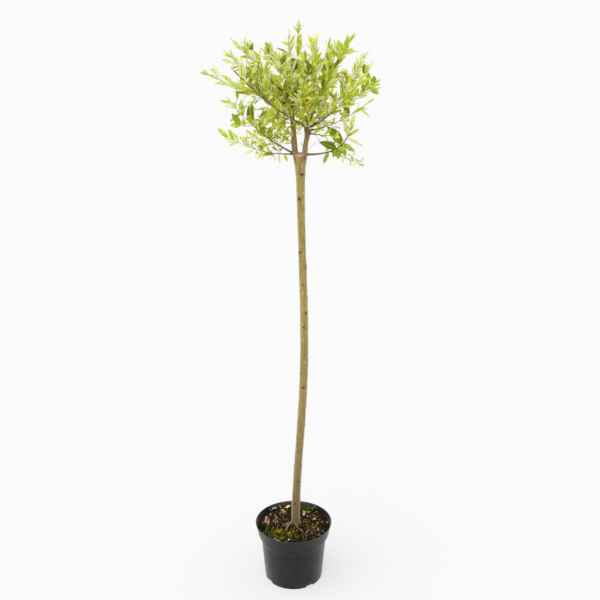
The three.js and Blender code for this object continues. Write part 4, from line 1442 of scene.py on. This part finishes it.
def add_moss():
    """Moss: short pointed blades, thickest amid each patch, in clumps of painted light and painted
    shade.
    """
    rows, columns = np.linspace(0, 1, 4), np.array([-1.0, 1.0])
    for kind, colour in MOSS_COLOURS.items():
        places = []
        for (cx, cy), (rx, ry), patch_kind, count in MOSS:
            if patch_kind == kind:
                places.append(random.normal(0, 0.45, (count, 2)) * (rx, ry) + (cx, cy))
        x, y = (np.concatenate(places) * MM).T
        inside = (np.hypot(x, y) < 90 * MM) & (np.hypot(x - STEM_AT, y) > 11 * MM)
        x, y = x[inside], y[inside]
        count = len(x)
        base = np.stack([x, y, soil_height(x, y) - 0.4 * MM], -1)
        heading = unit(random.normal(0, 0.55, (count, 3)) + UP)
        face = unit(np.cross(heading, random.normal(0, 1, (count, 3))))
        length = random.uniform(2.2, 7.0, count) * MM
        width = random.uniform(0.5, 1.0, count) * MM
        bend = random.uniform(0, 1.4, count)
        blades = (base, heading, face, length, width, bend, np.zeros(count))
        # Painted light and shade: a shaded, a plain and a lit copy of each colour, dealt to clumps
        # by noise.
        looks = [plain_look(f"moss_{kind}_{name}", tuple(value * tint for value in colour), 0.7)
                 for name, tint in (("shade", 0.15), ("body", 0.6), ("light", 2.2))]
        clump = noise(base, 6 * MM, 61) + random.normal(0, 0.25, count)
        look_of_face = np.repeat(np.digitize(clump, [-0.15, 0.35]), 3)
        grid = inside_pot(blade_grid(blades, rows, columns))
        quads = grid_quads(len(rows), len(columns), count)
        piece = add_piece("moss_" + kind, grid, quads, looks=looks, look_of_face=look_of_face)
        belongs(piece, "peat")


LITTER_COLOURS = {
    "pink": (0.56, 0.34, 0.23), "blanched": (0.74, 0.62, 0.48), "rust": (0.36, 0.12, 0.045),
    "straw": (0.66, 0.52, 0.22), "yellow": (0.82, 0.68, 0.14), "grey": (0.52, 0.54, 0.38),
    "tan": (0.38, 0.22, 0.10),
}

# Fallen leaves: colour, place, turn in degrees, length, width and lift in mm, bend in radians.
LITTER = [
    ("pink", (-72, 4), 50, 19, 8, 3.0, -2.3), ("blanched", (-66, 10), 110, 16, 6, 5.0, -1.9),
    ("rust", (-77, -4), 80, 14, 6, 1.5, -2.2), ("pink", (-63, -6), 95, 21, 8, 3.5, -2.4),
    ("blanched", (-57, 3), 20, 13, 5, 5.0, -1.5), ("rust", (-68, 14), -30, 12, 6, 3.0, -1.8),
    ("pink", (-50, 16), -25, 18, 8, 3.5, -2.6), ("blanched", (-42, 24), 140, 17, 5, 5.0, -2.2),
    ("pink", (-38, 8), 200, 16, 7, 3.0, -2.0), ("tan", (-46, 6), 60, 14, 6, 2.0, -1.4),
    ("grey", (-46, 80), -106, 36, 9, 9.0, -0.8), ("grey", (-56, 60), -120, 18, 5, 6.0, -1.2),
    ("straw", (-62, 50), -70, 20, 3, 2.0, -0.9), ("tan", (-30, 70), 120, 20, 4, 2.0, -0.6),
    ("yellow", (-25, 70), 24, 19, 8, 4.0, -0.7), ("rust", (-27, 86), 22, 15, 7, 5.0, -1.0),
    ("straw", (-20, 54), 150, 17, 4, 3.0, -0.9), ("yellow", (-34, 64), -20, 10, 4, 4.0, -1.0),
    ("tan", (22, 49), 10, 14, 6, 1.5, -1.1), ("straw", (36, 56), -60, 15, 5, 2.5, -1.5),
    ("straw", (27, 40), 100, 14, 5, 3.0, -1.6), ("straw", (44, 64), 30, 15, 3, 3.0, -1.0),
    ("tan", (34, 36), -75, 17, 5, 2.5, -1.2), ("straw", (50, 24), 20, 12, 7, 2.0, -1.4),
    ("pink", (58, 9), 10, 9, 5, 1.5, -1.0), ("pink", (70, 10), -30, 7, 4, 1.5, -0.8),
    ("straw", (84, 8), 40, 6, 4, 1.5, -0.8), ("straw", (56, 70), 15, 9, 6, 2.0, -0.8),
    ("tan", (14, -60), 160, 10, 4, 1.2, -0.9), ("tan", (62, -26), 80, 8, 4, 1.2, -1.2),
    ("pink", (44, -40), 40, 6, 3, 1.5, -1.0), ("tan", (24, -30), 130, 9, 4, 1.2, -1.2),
]


def add_litter():
    """Fallen leaves: wide blades bent up at their ends, their surface crumpled by noise and patched
    with painted shade.
    """
    rows, columns = np.linspace(0, 1, 14), np.linspace(-1, 1, 8)
    for kind, colour in LITTER_COLOURS.items():
        x, y, turn, length, width, lift, bend = np.array(
            [(*place, *rest) for name, place, *rest in LITTER if name == kind]).T
        x, y = x * MM, y * MM
        turn = np.radians(turn)
        heading = level_circle(turn)
        base = np.stack([x, y, soil_height(x, y) + lift * MM], -1)
        face = np.tile(UP, (len(x), 1))
        blades = (base, heading, face, length * MM, width * MM, bend, np.full(len(x), 0.35))
        grid = blade_grid(blades, rows, columns, 0.6)
        shift = np.stack([noise(grid, 7 * MM, 40 + k) + 0.4 * noise(grid, 3 * MM, 50 + k)
                          for k in range(3)], -1)
        grid = inside_pot(grid + 2.6 * MM * shift)
        floor = soil_height(grid[..., 0], grid[..., 1]) + 0.4 * MM
        grid[..., 2] = np.maximum(grid[..., 2], floor)
        quads = grid_quads(len(rows), len(columns), len(grid))
        # Painted shade: a darker copy of each colour, laid on the crumpled surface in patches by
        # noise.
        painted_shade_colour = tuple(value * 0.4 for value in colour)
        looks = [plain_look("litter_" + kind, colour, 0.7),
                 plain_look("litter_painted_shade_" + kind, painted_shade_colour, 0.7)]
        look_of_face = noise(grid[:, :-1, :-1], 3 * MM, 60) > 0.15
        piece = add_piece("litter_" + kind, grid, quads, looks=looks, look_of_face=look_of_face)
        belongs(piece, "peat")


# Roots and straws that lie on the soil: points in mm, and the radius.
ROOTS = [
    ([(-5, -3), (-12, -8), (-15, -16), (-19, -26), (-24, -38)], 1.15),
    ([(-6, 0), (-14, 1), (-24, -3), (-32, -6)], 1.05),
    ([(-6, -6), (-14, -6), (-22, -13)], 0.9),
    ([(9, -2), (18, 2), (29, 11), (40, 19)], 0.8),
    ([(8, -6), (18, -11), (28, -8), (36, -4)], 0.7),
    ([(4, -9), (10, -20), (22, -26), (26, -36)], 0.6),
    ([(-52, -4), (-51, -14), (-47, -21), (-40, -15), (-36, -16)], 0.6),
    ([(-40, 88), (-35, 74), (-29, 60), (-26, 50)], 0.7),
    ([(-46, 60), (-44, 52), (-37, 50)], 0.5),
]
ROOT_COLOURS = {
    "root_pale": (0.50, 0.37, 0.19),
    "straw_pale": (0.40, 0.28, 0.16),
    "straw_brown": (0.11, 0.06, 0.035),
}
STRAWS = 150


def add_roots():
    """Thin roots along listed lines, and short straws scattered between them."""
    rings, sides = 24, 6
    paths, radii = [], []
    for points, radius in ROOTS:
        flat = resampled(np.array([(x, y, 0) for x, y in points]) * MM, rings)
        flat = softened(flat, 6)
        flat[:, 2] = soil_height(flat[:, 0], flat[:, 1]) + radius * 0.6 * MM
        paths.append(inside_pot(softened(flat, 3)))
        radii.append(np.linspace(1.0, 0.45, rings) * radius * MM)
    for x, y in np.transpose(scattered(STRAWS, 84 * MM, 14 * MM)):
        turn, length = random.uniform(0, np.pi), random.uniform(5, 15) * MM
        along = np.linspace(-0.5, 0.5, rings)
        bow = random.uniform(-0.25, 0.25) * (along ** 2)
        flat = np.stack([x + length * (along * np.cos(turn) - bow * np.sin(turn)),
                         y + length * (along * np.sin(turn) + bow * np.cos(turn)), 0 * along], -1)
        height = soil_height(flat[:, 0], flat[:, 1])
        flat[:, 2] = height.mean() + 0.6 * MM + random.uniform(-0.8, 1.5) * MM * along
        paths.append(inside_pot(flat))
        radii.append(np.full(rings, random.uniform(0.15, 0.4)) * MM)
    count = len(ROOTS)
    kind = np.concatenate([np.zeros(count, int), random.choice([1, 2], len(paths) - count)])
    points, quads, triangles = tubes(np.array(paths), np.array(radii), sides)
    look_of_face = [np.repeat(kind, (rings - 1) * sides), np.repeat(kind, 2 * sides)]
    look_of_face = np.concatenate(look_of_face)
    piece = add_piece("roots", points, quads, triangles, plain_looks(ROOT_COLOURS), look_of_face)
    belongs(piece, "peat")


# ---- The scene ----

add_camera()
add_light()
add_floor()

limbs = limb_lines()
crown = grow_crown(limbs)
add_leaves(crown)
bark, young_bark = bark_look(), young_bark_look()
stem_centre = add_stem(bark)
add_leaders(limbs, stem_centre, bark)
add_limbs(limbs, crown, young_bark)
add_pot(plastic_look())
add_soil(peat_look())
add_crumbs()
add_moss()
add_litter()
add_roots()
